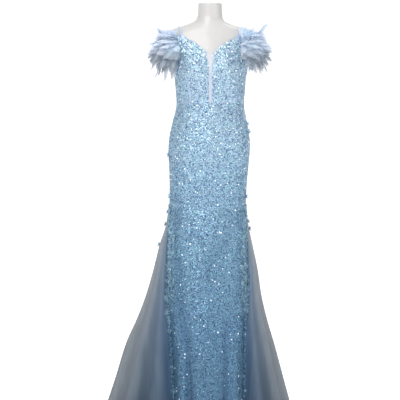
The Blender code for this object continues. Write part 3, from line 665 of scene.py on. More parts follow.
def tulle_finish():
    """Fine net: bluer by the panels, greyer at the flare, darker towards the hem as painted shade, with
    painted light on the ridges of its folds and painted shade in their troughs.
    """
    made = Finish("godet_tulle", Roughness=0.85, Sheen_Weight=0.15, Sheen_Roughness=0.5)
    flare, up = made.uv()
    fold = made.attribute("fold")
    streaks = made.noise(1.0, 3.0, made.stretched((42.0, 42.0, 1.1)))
    # Each ramp darkens towards the hem as painted shade
    near, middle, far = (made.ramp(up, stops) for stops in (NEAR_TULLE, MIDDLE_TULLE, FAR_TULLE))
    outer = made.mix(made.spread(flare, 0.50, 0.92), middle, far)
    colour = made.mix(made.spread(flare, 0.12, 0.56), near, outer)
    # Painted light on the ridges of the folds and painted shade in the troughs, with the net's streaks
    lit = fold + 0.8 * streaks
    ridge = made.mix(made.spread(lit, 0.65, 1.45) * 0.22, colour, (0.32, 0.39, 0.48))
    trough = made.times(ridge, (0.86, 0.89, 0.93))
    made.wear(Base_Color=made.mix(made.spread(lit, 0.85, 0.35), ridge, trough))
    made.wear(Alpha=0.97 - 0.32 * flare**2.0 - 0.05 * fold - 0.08 * up + 0.16 * (streaks - 0.5))
    made.bump(streaks, 0.2, 0.002)
    return made.material


def hem_finish():
    """The darker, doubled net of hems and the seam at the flare, darker still towards the hem as painted
    shade.
    """
    made = Finish("tulle_hem", Roughness=0.8)
    up = made.spread(made.height(), HEM, GODET_TOP)
    # Painted shade: darker towards the hem
    shade = made.mix(up, (0.10, 0.13, 0.17), (0.26, 0.32, 0.39))
    made.wear(Base_Color=made.mix(0.4 * made.noise(500.0), shade, (0.30, 0.38, 0.48)))
    return made.material


def sheer_finish():
    """Skin-toned net of the plunge, which shows the pale form behind it."""
    made = Finish("sheer_net", Roughness=0.7, Sheen_Weight=0.2)
    net = made.noise(1300.0, 1.0)
    made.wear(Base_Color=made.mix(net, (0.74, 0.78, 0.86), (0.84, 0.87, 0.92)), Alpha=0.42 + 0.2 * net)
    return made.material


def plume_finish():
    """Down combed into barbs: bluer and darker at the roots, partly as painted shade inside the clump, paler
    and greyer at the frayed edges, and darker lower down as painted shade.
    """
    made = Finish("plume_down", Roughness=0.9, Sheen_Weight=0.4, Sheen_Roughness=0.5)
    tip, tone, along, comb = (made.attribute(name) for name in ("tip", "tone", "along", "comb"))
    strand = made.noise(800.0, 2.0, made.out("ShaderNodeCombineXYZ", sockets={0: comb}))
    # The roots are darker partly as painted shade deep inside the clump
    root = made.mix(tone, (0.60, 0.77, 0.97), (0.72, 0.83, 0.98))
    middle = made.mix(tone, (0.70, 0.87, 1.00), (0.82, 0.89, 1.00))
    end = made.mix(tone, (0.74, 0.80, 0.86), (0.88, 0.88, 0.94))
    lengthwise = made.mix(made.spread(along, 0.05, 0.40), root, middle)
    frayed = made.mix(made.spread(along + 0.35 * tip, 0.65, 1.15), lengthwise, end)
    combed = made.mix(0.10 * strand, frayed, made.times(frayed, (0.6, 0.65, 0.72)))
    # Painted shade: darker lower down among the plumes
    rise = made.spread(made.height(), *PLUME_PAINTED_SHADE_SPAN)
    made.wear(Base_Color=made.times(combed, made.ramp(rise, PLUME_PAINTED_SHADES)))
    worn_away = tip - 0.9 * (strand - 0.5) + 0.35 * made.spread(along, 0.84, 1.0)
    made.wear(Alpha=0.80 * made.spread(worn_away, 1.35, 0.30))
    return made.material


def petal_finish():
    """Sequin-sprinkled organza of the flowers and leaves in the cloth's blue, which darkens towards the hem
    as painted shade, dark at the heart as painted shade where the petals meet, and pale at the rim.
    """
    made = Finish("petal_organza", Sheen_Weight=0.3, Coat_Roughness=0.15)
    blues = made.blues_with_painted_shade()
    grain = made.noise(380.0)
    tone = made.attribute("tone")
    # Painted shade at the heart of each flower
    heart = made.times(blues, (0.66, 0.82, 0.90))
    rim = made.mix(0.16 + 0.4 * tone, blues, (0.62, 0.88, 0.97))
    petal = made.mix(made.spread(made.attribute("tip"), 0.25, 0.95), heart, rim)
    made.wear(Base_Color=made.mix(0.30 * grain * (1 - tone), petal, (0.16, 0.42, 0.54)))
    made.wear(Metallic=0.15 + 0.3 * grain, Roughness=0.30 + 0.3 * grain)
    return made.material


def shell_finish():
    """Moulded off-white plastic of the form, with a soft polish."""
    made = Finish("form_shell", IOR=1.48, Coat_Roughness=0.10, Coat_Weight=0.6)
    made.wear(Base_Color=made.mix(made.noise(7.0, 3.0), (0.555, 0.546, 0.541), (0.585, 0.577, 0.571)))
    made.wear(Roughness=0.34 + 0.10 * made.noise(40.0))
    made.bump(made.noise(220.0), 0.06, 0.0005)
    return made.material


def steel_finish(name, tint, worn):
    """Brushed metal, drawn along its height."""
    made = Finish(name, Metallic=1.0)
    drawn = made.noise(1.0, 3.0, made.stretched((900.0, 900.0, 12.0)))
    made.wear(Base_Color=made.mix(drawn, tint, tuple(min(1.0, c * 1.18) for c in tint)))
    made.wear(Roughness=worn + 0.16 * drawn)
    made.bump(drawn, 0.12, 0.0002)
    return made.material


def floor_finish():
    made = Finish("studio_floor", Roughness=0.9, Specular_IOR_Level=0.1)
    made.wear(Base_Color=made.mix(made.noise(3.0), (0.90, 0.90, 0.90), (0.92, 0.92, 0.92)))
    made.wear(Emission_Color=(1.0, 1.0, 1.0), Emission_Strength=0.60)
    return made.material


FINISHES = {
    "sequins": sequin_finish(),
    "net": net_finish(),
    "satin": satin_finish(),
    "channel": channel_finish(),
    "tulle": tulle_finish(),
    "hem": hem_finish(),
    "sheer": sheer_finish(),
    "plume": plume_finish(),
    "petal": petal_finish(),
    "shell": shell_finish(),
    "steel": steel_finish("brushed_steel", (0.52, 0.53, 0.55), 0.30),
    "zip": steel_finish("zip_metal", (0.58, 0.66, 0.76), 0.26),
    "floor": floor_finish(),
}


def join_scene(name, mesh, finish=None):
    """Puts a mesh into the scene as an object at the origin."""
    made = bpy.data.objects.new(name, mesh)
    if finish and not mesh.materials:
        mesh.materials.append(FINISHES[finish])
    bpy.context.scene.collection.objects.link(made)
    return made


def finished(piece, slot, *nodes):
    """Rides a piece on the dress and hides the nodes that it stands for; its slot is not used."""
    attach(piece, "dress")
    if nodes:
        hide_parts(*nodes)
    return piece


def pointed(mesh, **values):
    """Gives a mesh a number or a vector at every point, under each name."""
    for name, numbers in values.items():
        vector = np.size(numbers) == 3 * len(mesh.vertices)
        layer = mesh.attributes.new(name, "FLOAT_VECTOR" if vector else "FLOAT", "POINT")
        layer.data.foreach_set("vector" if vector else "value", np.asarray(numbers, np.float32).ravel())


def plain_mesh(name, points, faces, edges=(), **values):
    """A smooth mesh with values at its points."""
    mesh = bpy.data.meshes.new(name)
    mesh.from_pydata(np.asarray(points).reshape(-1, 3).tolist(), edges, faces)
    pointed(mesh, **values)
    mesh.shade_smooth()
    return mesh


def quads_of(rows, columns):
    """The faces between the points of a grid."""
    corner = np.arange(rows * columns).reshape(rows, columns)
    here, after = corner[:, :-1], corner[:, 1:]
    return np.stack([here[:-1], after[:-1], after[1:], here[1:]], -1).reshape(-1, 4)


def grid_mesh(name, points, uv=None):
    """A mesh over a grid of points, rows by columns, whose faces point along x-hat cross z-hat."""
    quads = quads_of(*points.shape[:2])
    mesh = plain_mesh(name, points, quads.tolist())
    if uv is not None:
        layer = mesh.uv_layers.new(name="cloth")
        layer.data.foreach_set("uv", uv.reshape(-1, 2)[quads.reshape(-1)].ravel())
    return mesh


def joined_mesh(name, pieces):
    """One mesh of several pieces' meshes."""
    shaped = bmesh.new()
    for piece in pieces:
        shaped.from_mesh(piece.data)
    mesh = bpy.data.meshes.new(name)
    shaped.to_mesh(mesh)
    shaped.free()
    return mesh


def solidify(piece, thick):
    """Gives a sheet its wall, inwards from its outer face."""
    wall = piece.modifiers.new("Wall", "SOLIDIFY")
    wall.thickness = thick
    wall.offset = -1.0


def tube(points, radius, sides=8, squash=1.0, outs=None):
    """Rings of a closed tube. With outs, its section lies across them and is squashed along them."""
    points = np.asarray(points, float)
    heading = heading_of(points)
    if outs is None:
        outs = np.tile((0.0, 0.0, 1.0), (len(points), 1))
        outs[np.abs(heading[:, 2]) > 0.9] = (0.0, 1.0, 0.0)
    across = np.cross(heading, outs)
    across /= np.linalg.norm(across, axis=1, keepdims=True)
    outs = np.cross(across, heading)
    turns = np.linspace(0, 2 * math.pi, sides, endpoint=False)
    wide = across[:, None] * np.cos(turns)[None, :, None]
    tall = outs[:, None] * np.sin(turns)[None, :, None] * squash
    return points[:, None] + radius * (wide + tall)


def tube_mesh(name, paths):
    """One mesh of several closed tubes, given as rings of points."""
    shaped = bmesh.new()
    for rings in paths:
        made = [[shaped.verts.new(p) for p in ring] for ring in rings.tolist()]
        for before, after in zip(made, made[1:]):
            for c in range(len(before)):
                d = (c + 1) % len(before)
                shaped.faces.new((before[c], before[d], after[d], after[c]))
        shaped.faces.new(made[0][::-1])
        shaped.faces.new(made[-1])
    bmesh.ops.recalc_face_normals(shaped, faces=shaped.faces)
    mesh = bpy.data.meshes.new(name)
    shaped.to_mesh(mesh)
    shaped.free()
    mesh.shade_smooth()
    return mesh


def lathe(name, node, profile, sides=72):
    """A turned steel piece about the pole's axis, from (radius, height) pairs, closed at both ends."""
    turns = np.linspace(0, 2 * math.pi, sides, endpoint=False)
    rings = np.array([[(r * math.cos(t), r * math.sin(t), z) for t in turns] for r, z in profile])
    piece = join_scene(name, tube_mesh(name, [rings]), "steel")
    piece.data.set_sharp_from_angle(angle=math.radians(35))
    finished(piece, "form_metal", node)


def dress_stand():
    """The torso with its neck, and the flange, pole and base under it."""
    heights = [FORM_BOTTOM + 0.012, *np.linspace(0.925, 1.49, 70), *np.linspace(1.497, 1.552, 26)]
    heights += [*np.linspace(1.558, FORM_TOP - 0.004, 14)]
    angles = np.linspace(-90, 270, 120, endpoint=False)
    rings = skin(angles[None, :], np.array(heights)[:, None])

    def drawn_in(ring, *steps):
        middle = ring.mean(axis=0) * (1, 1, 0)
        return np.array([middle + (ring - middle) * (s, s, 0) + (0, 0, z) for s, z in steps])

    under = drawn_in(rings[0], (0.90, 0.900), (0.95, 0.9015), (0.985, 0.906))
    over = drawn_in(rings[-1], (0.985, 1.6165), (0.95, 1.618), (0.86, 1.618), (0.84, 1.6168))
    torso = tube_mesh("form_shell", [np.concatenate([under, rings, over])])
    finished(join_scene("form_shell", torso, "shell"), "form_shell", "form_torso")

    top = FORM_BOTTOM - FIT
    low = top - FLANGE_THICK
    profile = ((0.025, low), (0.033, low + 0.0015), (0.0355, low + 0.004), (0.036, low + 0.006))
    profile += ((FLANGE_RADIUS, top - 0.001), (FLANGE_RADIUS - 0.001, top))
    lathe("stand_flange", "form_flange", profile)
    heights = (BASE_THICK + FIT, 0.20, 0.55, low - FIT)
    lathe("stand_pole", "form_pole", [(POLE_RADIUS, z) for z in heights], 40)
    disc = [(BASE_RADIUS - 0.002, 0.0), (BASE_RADIUS - 0.0006, 0.0006), (BASE_RADIUS, 0.002)]
    disc += [(BASE_RADIUS, BASE_EDGE - 0.002), (BASE_RADIUS - 0.0015, BASE_EDGE)]
    disc += [(BASE_RADIUS - 0.010, BASE_EDGE + 0.003), (0.045, BASE_THICK - 0.001), (0.030, BASE_THICK)]
    lathe("stand_base", "form_base", disc)


def panel_grid(low_angle, high_angle, bottom, columns, rows):
    """Angles and heights of a bodice panel, from its bottom to the top edge, between two seams."""
    u = np.linspace(0, 1, columns + 1)
    top = np.full(columns + 1, 1.40)
    for _ in range(40):
        here = low_angle(top) + (high_angle(top) - low_angle(top)) * u
        top = top + 0.6 * (TOP(np.abs(here)) - top)
    height = bottom + (top - bottom) * np.linspace(0, 1, rows + 1)[:, None]
    return low_angle(height) + (high_angle(height) - low_angle(height)) * u, height


def plunge_angle(height):
    eased = PLUNGE_EASE * ease((height - PLUNGE_EASE_LOW) / PLUNGE_EASE_RISE)
    return np.degrees(np.arcsin((PLUNGE_HALF(height) + eased) / BODY["width"](height)))


def cloth_panel(name, angle, height, lift, finish="net", creased=True):
    """A sheet over a grid of angles and heights, with its wall still to come."""
    angle, height = np.broadcast_arrays(angle, height)
    points = lifted(skin, angle, height, lift + (creasing(angle, height) if creased else 0.0))
    piece = join_scene(name, grid_mesh(name, points), finish)
    # Every point keeps how much painted shade its folds, creases and banks give it
    pointed(piece.data, shade=painted_shade_depth(angle, height))
    return piece


def cut_piece(piece, thick, slot, node, flat):
    area = min(sum(face.area for face in piece.data.polygons), flat[0] * flat[1])
    solidify(piece, thick)
    finished(piece, slot, node)


class Sewing(Tree):
    """A Geometry Nodes tree that lays copies of a small shape over a cloth or along quills."""

    def __init__(self, name, base, objects, numbers, made):
        self.group = bpy.data.node_groups.new(name, "GeometryNodeTree")
        wanted = [(base, "Geometry", None), *((given, "Object", None) for given in objects)]
        wanted += [(given, "Float", value) for given, value in numbers.items()]
        for given, kind, value in (*wanted, ("Seed", "Int", None)):
            socket = self.group.interface.new_socket(given, in_out="INPUT", socket_type=f"NodeSocket{kind}")
            if value is not None:
                socket.default_value = value
        self.group.interface.new_socket(made, in_out="OUTPUT", socket_type="NodeSocketGeometry")
        super().__init__(self.group)
        self.given = self.node("NodeGroupInput").outputs

    def number(self, name):
        return Number(self, self.given[name])

    def shape(self, name):
        return self.node("GeometryNodeObjectInfo", sockets={"Object": self.given[name]}).outputs["Geometry"]

    def random(self, low, high, seed):
        sockets = {2: low, 3: high, "Seed": seed}
        return Number(self, self.node("FunctionNodeRandomValue", {"data_type": "FLOAT"}, sockets).outputs[1])

    def scatter(self):
        """Points over the cloth, no nearer to each other than the spacing."""
        spacing = self.number("Spacing")
        sockets = {"Mesh": self.given["Cloth"], "Distance Min": spacing, "Seed": self.given["Seed"]}
        sockets["Density Max"] = CROWDING / (spacing * spacing)
        kind = "GeometryNodeDistributePointsOnFaces"
        return self.node(kind, {"distribute_method": "POISSON"}, sockets).outputs

    def turned(self, rotation, *turns):
        """A rotation with a small turn added about each of its own axes."""
        turn = self.out("ShaderNodeCombineXYZ", sockets=dict(enumerate(turns)))
        euler = self.out("FunctionNodeEulerToRotation", sockets={0: turn})
        return self.out("FunctionNodeRotateRotation", {"rotation_space": "LOCAL"}, {0: rotation, 1: euler})

    def laid(self, points, shape, rotation, scale):
        sockets = {"Points": points, "Instance": shape, "Rotation": rotation, "Scale": scale}
        return self.out("GeometryNodeInstanceOnPoints", sockets=sockets)

    def toned(self, geometry, domain, seed):
        """Gives every point or copy a tone from 0 to 1."""
        sockets = {"Geometry": geometry, "Name": "tone", "Value": self.random(0.0, 1.0, seed)}
        return self.out("GeometryNodeStoreNamedAttribute", {"data_type": "FLOAT", "domain": domain}, sockets)

    def close(self, geometry, finish):
        real = self.out("GeometryNodeRealizeInstances", sockets={"Geometry": geometry})
        sockets = {"Geometry": real, "Material": FINISHES[finish]}
        self.node("NodeGroupOutput", sockets={0: self.out("GeometryNodeSetMaterial", sockets=sockets)})
        return self.group


def run_tree(name, mesh, tree, inputs):
    """Runs a Geometry Nodes tree over a mesh and keeps the result as a plain piece."""
    piece = join_scene(name, mesh)
    step = piece.modifiers.new(tree.name, "NODES")
    step.node_group = tree
    for item in tree.interface.items_tree:
        if item.name in inputs:
            step[item.identifier] = inputs[item.name]
    depsgraph = bpy.context.evaluated_depsgraph_get()
    plain = bpy.data.meshes.new_from_object(piece.evaluated_get(depsgraph))
    piece.modifiers.clear()
    piece.data = plain
    return piece


def sequin_tree():
    """Sequins scattered over a sheet, each turned and tipped a little, with a random tone."""
    numbers = {"Spacing": SEQUIN_SPACING, "Radius": SEQUIN_RADIUS, "Tilt": SEQUIN_TILT, "Lift": SEQUIN_LIFT}
    made = Sewing("Sew on sequins", "Cloth", (), numbers, "Sequins")
    spread = made.scatter()
    tilt = made.number("Tilt")
    tips = [made.random(0.0 - tilt, tilt, seed) for seed in (3, 4)]
    settled = made.turned(spread["Rotation"], *tips, made.random(0.0, 2 * math.pi, 5))
    raised = made.number("Lift") + made.random(0.0, 0.0006, 6)
    out = made.out("ShaderNodeVectorMath", {"operation": "SCALE"}, {0: spread["Normal"], "Scale": raised})
    moved = made.out("GeometryNodeSetPosition", sockets={"Geometry": spread["Points"], "Offset": out})
    rim = {"Vertices": 6, "Radius": made.given["Radius"]}
    disc = made.out("GeometryNodeMeshCircle", {"fill_type": "NGON"}, rim)
    points = made.toned(moved, "POINT", 7)
    return made.close(made.laid(points, disc, settled, made.random(0.82, 1.12, 8)), "sequins")


def own_cells(mesh):
    """Gives every small face a cell of its own in the texture map."""
    count = len(mesh.polygons)
    across = math.ceil(math.sqrt(count))
    sides = len(mesh.loops) // count
    turns = np.linspace(0, 2 * math.pi, sides, endpoint=False)
    rim = 0.42 * np.stack([np.cos(turns), np.sin(turns)], -1)
    cells = np.stack(np.divmod(np.arange(count), across)[::-1], -1) + 0.5
    layer = mesh.uv_layers.new(name="OFBake")
    layer.data.foreach_set("uv", ((cells[:, None] + rim[None]) / across).ravel())


def sequins_on(name, panels, tree, seed):
    """Sequins over one or more panels, as one piece."""
    piece = run_tree(name, joined_mesh(name, panels), tree, {"Seed": seed})
    own_cells(piece.data)
    finished(piece, "sequinned_cloth")


# Half a seam as an angle round the waist
HALF_SEAM = math.degrees(SEAM / 2 / float(BODY["width"](WAIST)))


def make_bodice(sequins):
    """The fitted panels with their sequins, and the sheer insert of the plunge."""
    bottom = WAIST + SEAM
    lines = {
        "plunge": lambda z: plunge_angle(z) + 2 * HALF_SEAM,
        "before_princess": lambda z: PRINCESS(z) - HALF_SEAM,
        "after_princess": lambda z: PRINCESS(z) + HALF_SEAM,
        "before_side": lambda z: 90.0 - HALF_SEAM + 0 * z,
        "after_side": lambda z: 90.0 + HALF_SEAM + 0 * z,
        "zip": lambda z: 180.0 - HALF_SEAM + 0 * z,
    }
    cuts = {
        "centre_front": ("plunge", "before_princess", 26, 60),
        "side_front": ("after_princess", "before_side", 34, 60),
        "back": ("after_side", "zip", 44, 44),
    }
    panels = {}
    for cut, (low, high, columns, rows) in cuts.items():
        angle, height = panel_grid(lines[low], lines[high], bottom, columns, rows)
        for side in (LEFT, RIGHT):
            across = angle if side > 0 else (360 - angle if cut == "back" else -angle)[:, ::-1]
            tall = height if side > 0 else height[:, ::-1]
            panels[cut, side] = cloth_panel(f"bodice_{cut}_panel_{WORDS[side]}", across, tall, OUTER)
    sequins_on("sequins_bodice_front", [p for (cut, _), p in panels.items() if cut != "back"], sequins, 11)
    sequins_on("sequins_bodice_back", [p for (cut, _), p in panels.items() if cut == "back"], sequins, 12)
    for (cut, side), panel in panels.items():
        node = f"bodice_{cut}_{WORDS[side]}"
        cut_piece(panel, CLOTH, "sequinned_cloth", node, FLATS[cut])

    height = np.linspace(bottom, INSERT_TOP, 50)[:, None]
    edge = plunge_angle(height) - HALF_SEAM
    insert = cloth_panel("plunge_net", edge * np.linspace(-1, 1, 13), height, CLEAR + NET_LIFT, "sheer")
    cut_piece(insert, NET_THICK, "sheer_mesh", "plunge_insert", FLATS["plunge"])


def make_skirt(sequins):
    """The long front and back panels with their sequins."""
    height = np.linspace(HEM, WAIST - SEAM, 170)[:, None]
    ahead = np.linspace(-90 + HALF_SEAM, 90 - HALF_SEAM, 110)
    behind = np.linspace(90 + HALF_SEAM, 180 - HALF_SEAM, 56)
    turns = {"front": ahead, "back_left": behind, "back_right": (360 - behind)[::-1]}
    panels = {part: cloth_panel(f"skirt_panel_{part}", turn, height, OUTER) for part, turn in turns.items()}
    for half, rows, seed in (("lower", slice(0, 86), 24), ("upper", slice(85, 170), 25)):
        sewn = cloth_panel(f"sewn_{half}", ahead, height[rows], OUTER)
        sequins_on(f"sequins_skirt_front_{half}", [sewn], sequins, seed)
        bpy.data.objects.remove(sewn)
    sequins_on("sequins_skirt_back_left", [panels["back_left"]], sequins, 22)
    sequins_on("sequins_skirt_back_right", [panels["back_right"]], sequins, 23)
    for part, panel in panels.items():
        flat = FLATS["skirt_front" if part == "front" else "skirt_back"]
        cut_piece(panel, CLOTH, "sequinned_cloth", f"skirt_{part}", flat)


def painted_fold_light(side, place):
    """How far a place stands out on the godet's folds, from 0 in a trough to 1 on a ridge, which the tulle
    turns into painted light and shade.
    """
    out = waves_of(side, place if side > 0 else 1 - place)
    return 0.5 + 0.5 * np.clip(out / FULL_WAVE, -1.0, 1.0)


def tubing(name, paths, finish, slot="satin"):
    finished(join_scene(name, tube_mesh(name, paths), finish), slot)


def make_godets():
    """Two gores of tulle on each side, with the seam at the tip of the flare and a fine hem."""
    heights = np.linspace(HEM, GODET_TOP, 64)[:, None]
    edges = []
    for side in (LEFT, RIGHT):
        surface = godet(side)
        for gore, low, high in (("front", 0.0, 0.5 - GORE_GAP), ("back", 0.5 + GORE_GAP, 1.0)):
            places = np.linspace(low, high, 96) if side > 0 else 1 - np.linspace(high, low, 96)
            grid, tall = np.broadcast_arrays(places, heights)
            points = lifted(surface, grid, tall, TULLE)
            flare = np.sin(np.pi * grid) ** FLARE_POWER
            uv = np.stack([flare, (tall - HEM) / (GODET_TOP - HEM)], -1)
            node = f"tulle_{gore}_{WORDS[side]}"
            piece = join_scene(f"{node}_gore", grid_mesh(node, points, uv), "tulle")
            # The tulle paints light on the ridges and shade in the troughs from this value
            pointed(piece.data, fold=painted_fold_light(side, grid))
            panel = "skirt_panel_front" if gore == "front" else f"skirt_panel_back_{WORDS[side]}"
            flat = FLATS[f"gore_{WORDS[side]}"]
            cut_piece(piece, GORE_WALL, "tulle", node, flat)
            edges.append(tube(points[0] + (0.0, 0.0, HEM_LIFT), HEM_RADIUS, 5))
        height = np.linspace(HEM, GODET_TOP, 90)
        edges.append(tube(lifted(surface, 0.5, height, TULLE), TIP_RADIUS, 6))
    tubing("tulle_hems", edges, "hem", "tulle")


def strap_line():
    """Angles and heights over the left shoulder, and how far each is from the ridge."""
    front_x, ridge_x, back_x = STRAP_X
    low, high = STRAP_RIDGE_LOW, FORM_TOP
    for _ in range(40):
        middle = (low + high) / 2
        low, high = (middle, high) if BODY["width"](middle) > ridge_x else (low, middle)
    t = np.linspace(-1.0, 1.0, 61)
    height = low - (low - np.where(t < 0, STRAP_FRONT_LOW, STRAP_BACK_LOW)) * t * t
    x = ridge_x + (np.where(t < 0, front_x, back_x) - ridge_x) * t * t
    lean = np.degrees(np.arcsin(np.minimum(1.0, x / BODY["width"](height))))
    return np.where(t < 0, lean, 180 - lean), height, np.abs(t)


def make_straps():
    angle, height, off_ridge = strap_line()
    start, span = STRAP_RISE
    lift = STRAP_REST + (OUTER + LAP - STRAP_REST) * ease((off_ridge - start) / span)
    low = lifted(skin, angle, height, lift)
    high = lifted(skin, angle, height, lift + STRAP_THICK)
    outs = (high - low) / STRAP_THICK
    rings = tube((low + high) / 2, STRAP_WIDTH / 2, 14, STRAP_THICK / STRAP_WIDTH, outs)
    for side in (LEFT, RIGHT):
        mesh = tube_mesh("strap", [rings * (side, 1, 1)])
        piece = join_scene(f"shoulder_strap_{WORDS[side]}", mesh, "satin")
        finished(piece, "satin", f"strap_{WORDS[side]}")


def sewn_line(angle, height, lift, radius, sides=8, squash=1.0, side=LEFT):
    """A tube along a line on the cloth, mirrored for the right."""
    angle, height = np.broadcast_arrays(angle, height)
    path = lifted(skin, angle, height, lift + creasing(angle, height))
    return tube(path * (side, 1, 1), radius, sides, squash)


def make_bindings():
    """Rolled edges, boning channels and seams."""
    rolls, channels = [], []
    runs = ((4.3, 39, 60), (39.6, 133, 110), (133.6, 179.9, 60))
    angle = np.concatenate([np.linspace(*run) for run in runs])
    height = np.linspace(WAIST, INSERT_TOP + 0.004, 60)
    bone = np.linspace(WAIST, BONE_TOP, 40)
    for side in (LEFT, RIGHT):
        rolls.append(sewn_line(angle, TOP(angle) + 0.0006, OUTER - 0.0005, EDGE_ROLL, side=side))
        rolls.append(sewn_line(plunge_angle(height), height, OUTER - 0.0006, PLUNGE_ROLL, side=side))
        channels.append(sewn_line(PRINCESS(bone) * side, bone, OUTER + 0.0004, BONE_RADIUS, 8, BONE_SQUASH))
    centre = np.linspace(WAIST + 0.002, CENTRE_TOP, 40)
    channels.append(sewn_line(0.0, centre, CLEAR + 0.0016, CENTRE_RADIUS, 8, CENTRE_SQUASH))
    turns = (np.linspace(-90, 90, 120), np.linspace(90, 270, 120))
    tubing("rolled_edges", rolls, "satin")
    tubing("boning_channels", channels, "channel")
    tubing("waist_seam", [sewn_line(t, WAIST, OUTER - 0.0002, SEAM_ROLL, 6) for t in turns], "satin")
    height = np.linspace(ZIP_BOTTOM, ZIP_TOP + 0.004, 120)
    sides = (180 - ZIP_HALF_GAP, 180 + ZIP_HALF_GAP)
    tubing("zip_lips", [sewn_line(t, height, OUTER - 0.0008, ZIP_ROLL) for t in sides], "satin")
    for node in ("zip_slider", "zip_pull"):
        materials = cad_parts[node].data.materials
        materials.clear()
        materials.append(FINISHES["zip"])


def make_bands(sequins):
    """The sequinned off-shoulder bands that carry the feathers."""
    heights = np.linspace(BAND_LOW, BAND_HIGH, 20)[:, None]
    for side in (LEFT, RIGHT):
        angles = np.linspace(*BAND_ANGLES, 70)
        angles = angles if side > 0 else -angles[::-1]
        angles = np.where(angles < -90, angles + 360, angles)
        band = cloth_panel(f"shoulder_band_{WORDS[side]}", angles, heights, BAND_FACE, creased=False)
        sequins_on(f"sequins_band_{WORDS[side]}", [band], sequins, 31 + side)
        cut_piece(band, CLOTH, "sequinned_cloth", f"sleeve_band_{WORDS[side]}", FLATS["band"])


def plume_tree():
    """Barbs on both sides of every quill, which shrink and turn as its points say."""
    numbers = {"Quill radius": 0.0003, "Roll": 0.45}
    made = Sewing("Grow barbs", "Quills", ("Barbs", "Vanes"), numbers, "Plumes")
    quills, seed, roll = made.given["Quills"], made.number("Seed"), made.number("Roll")

    def named(name, kind="FLOAT"):
        node = made.node("GeometryNodeInputNamedAttribute", {"data_type": kind}, {"Name": name})
        return node.outputs["Attribute"]

    aims = {0: named("heading", "FLOAT_VECTOR"), 1: named("across", "FLOAT_VECTOR")}
    facing = made.out("FunctionNodeAxesToRotation", {"primary_axis": "Y", "secondary_axis": "X"}, aims)
    spans = ((-0.25, 0.25), (0.0 - roll, roll), (-0.2, 0.2))
    turns = [made.random(low, high, seed + more) for more, (low, high) in enumerate(spans, start=1)]
    size = Number(made, named("reach")) * made.random(0.72, 1.12, seed + 4)
    laid = made.laid(quills, made.shape("Barbs"), made.turned(facing, *turns), size)
    line = made.out("GeometryNodeMeshToCurve", sockets={0: quills})
    section = {"Resolution": 4, "Radius": made.given["Quill radius"]}
    section = made.out("GeometryNodeCurvePrimitiveCircle", sockets=section)
    shaft = made.out("GeometryNodeCurveToMesh", sockets={"Curve": line, "Profile Curve": section})
    joined = made.node("GeometryNodeJoinGeometry")
    for part in (shaft, laid, made.shape("Vanes")):
        made.links.new(part, joined.inputs[0])
    return made.close(joined.outputs[0], "plume")


def barb_pair():
    """A pair of curved, tapering barbs of unit length, swept forward along Y."""
    points, faces, tips = [], [], []
    for side in (-1, 1):
        a = len(points)
        for s, wide in ((0.0, 0.022), (0.30, 0.030), (0.66, 0.022), (1.0, 0.0)):
            x = side * (0.92 * s - 0.20 * s * s)
            y = 0.30 * s + 0.46 * s * s
            z = 0.10 * s - 0.34 * s * s
            for across in ((-wide, wide) if wide else (0.0,)):
                points.append((x - side * across * 0.5, y + across, z))
                tips.append(0.45 * s)
        quads = [(a, a + 1, a + 3, a + 2), (a + 2, a + 3, a + 5, a + 4), (a + 4, a + 5, a + 6)]
        faces += [q if side < 0 else q[::-1] for q in quads]
    return plain_mesh("barb_pair", points, faces, tip=tips)


# Rows of plumes round the bands, from the top down, with a tilt up from the level for each side
PLUME_ROWS = table(
    "rise droop width columns shift tilt_left length_left tilt_right length_right",
    "droop width length_left length_right",
    (0.95, 18, 20.7, 10, 0, 58, 44, 54, 44),
    (0.80, 24, 22.6, 12, 0.5, 36, 48, 34, 46),
    (0.64, 26, 23.8, 12, 0, 14, 52, 12, 58),
    (0.48, 24, 22.6, 12, 0.5, -10, 56, -12, 68),
    (0.34, 18, 20.7, 13, 0, -34, 62, -36, 74),
    (0.22, 12, 17.1, 13, 0.5, -54, 72, -56, 82),
    (0.12, 6, 11, 13, 0, -68, 82, -70, 96),
    (0.05, 2, 8.5, 12, 0.5, -80, 86, -82, 104),
)
PLUME_FIELDS = ("angle rise tilt length droop width sway", "length droop width sway")
Plume = namedtuple("Plume", PLUME_FIELDS[0])
# Plumes at the front of both shoulders that sweep outward over the roots of the rest
SWEPT_PLUMES = table(
    *PLUME_FIELDS,
    (46, 0.95, 42, 60, 20, 21, 46), (50, 0.80, 22, 64, 26, 22, 46), (47, 0.62, 2, 66, 26, 22, 44),
    (52, 0.50, -18, 68, 22, 22, 40), (46, 0.40, -32, 70, 20, 21, 36), (57, 0.72, 12, 66, 28, 22, 40),
    (58, 0.95, 52, 60, 22, 21, 40), (64, 0.60, -4, 68, 24, 22, 36), (45, 0.78, 14, 52, 18, 20, 40),
)
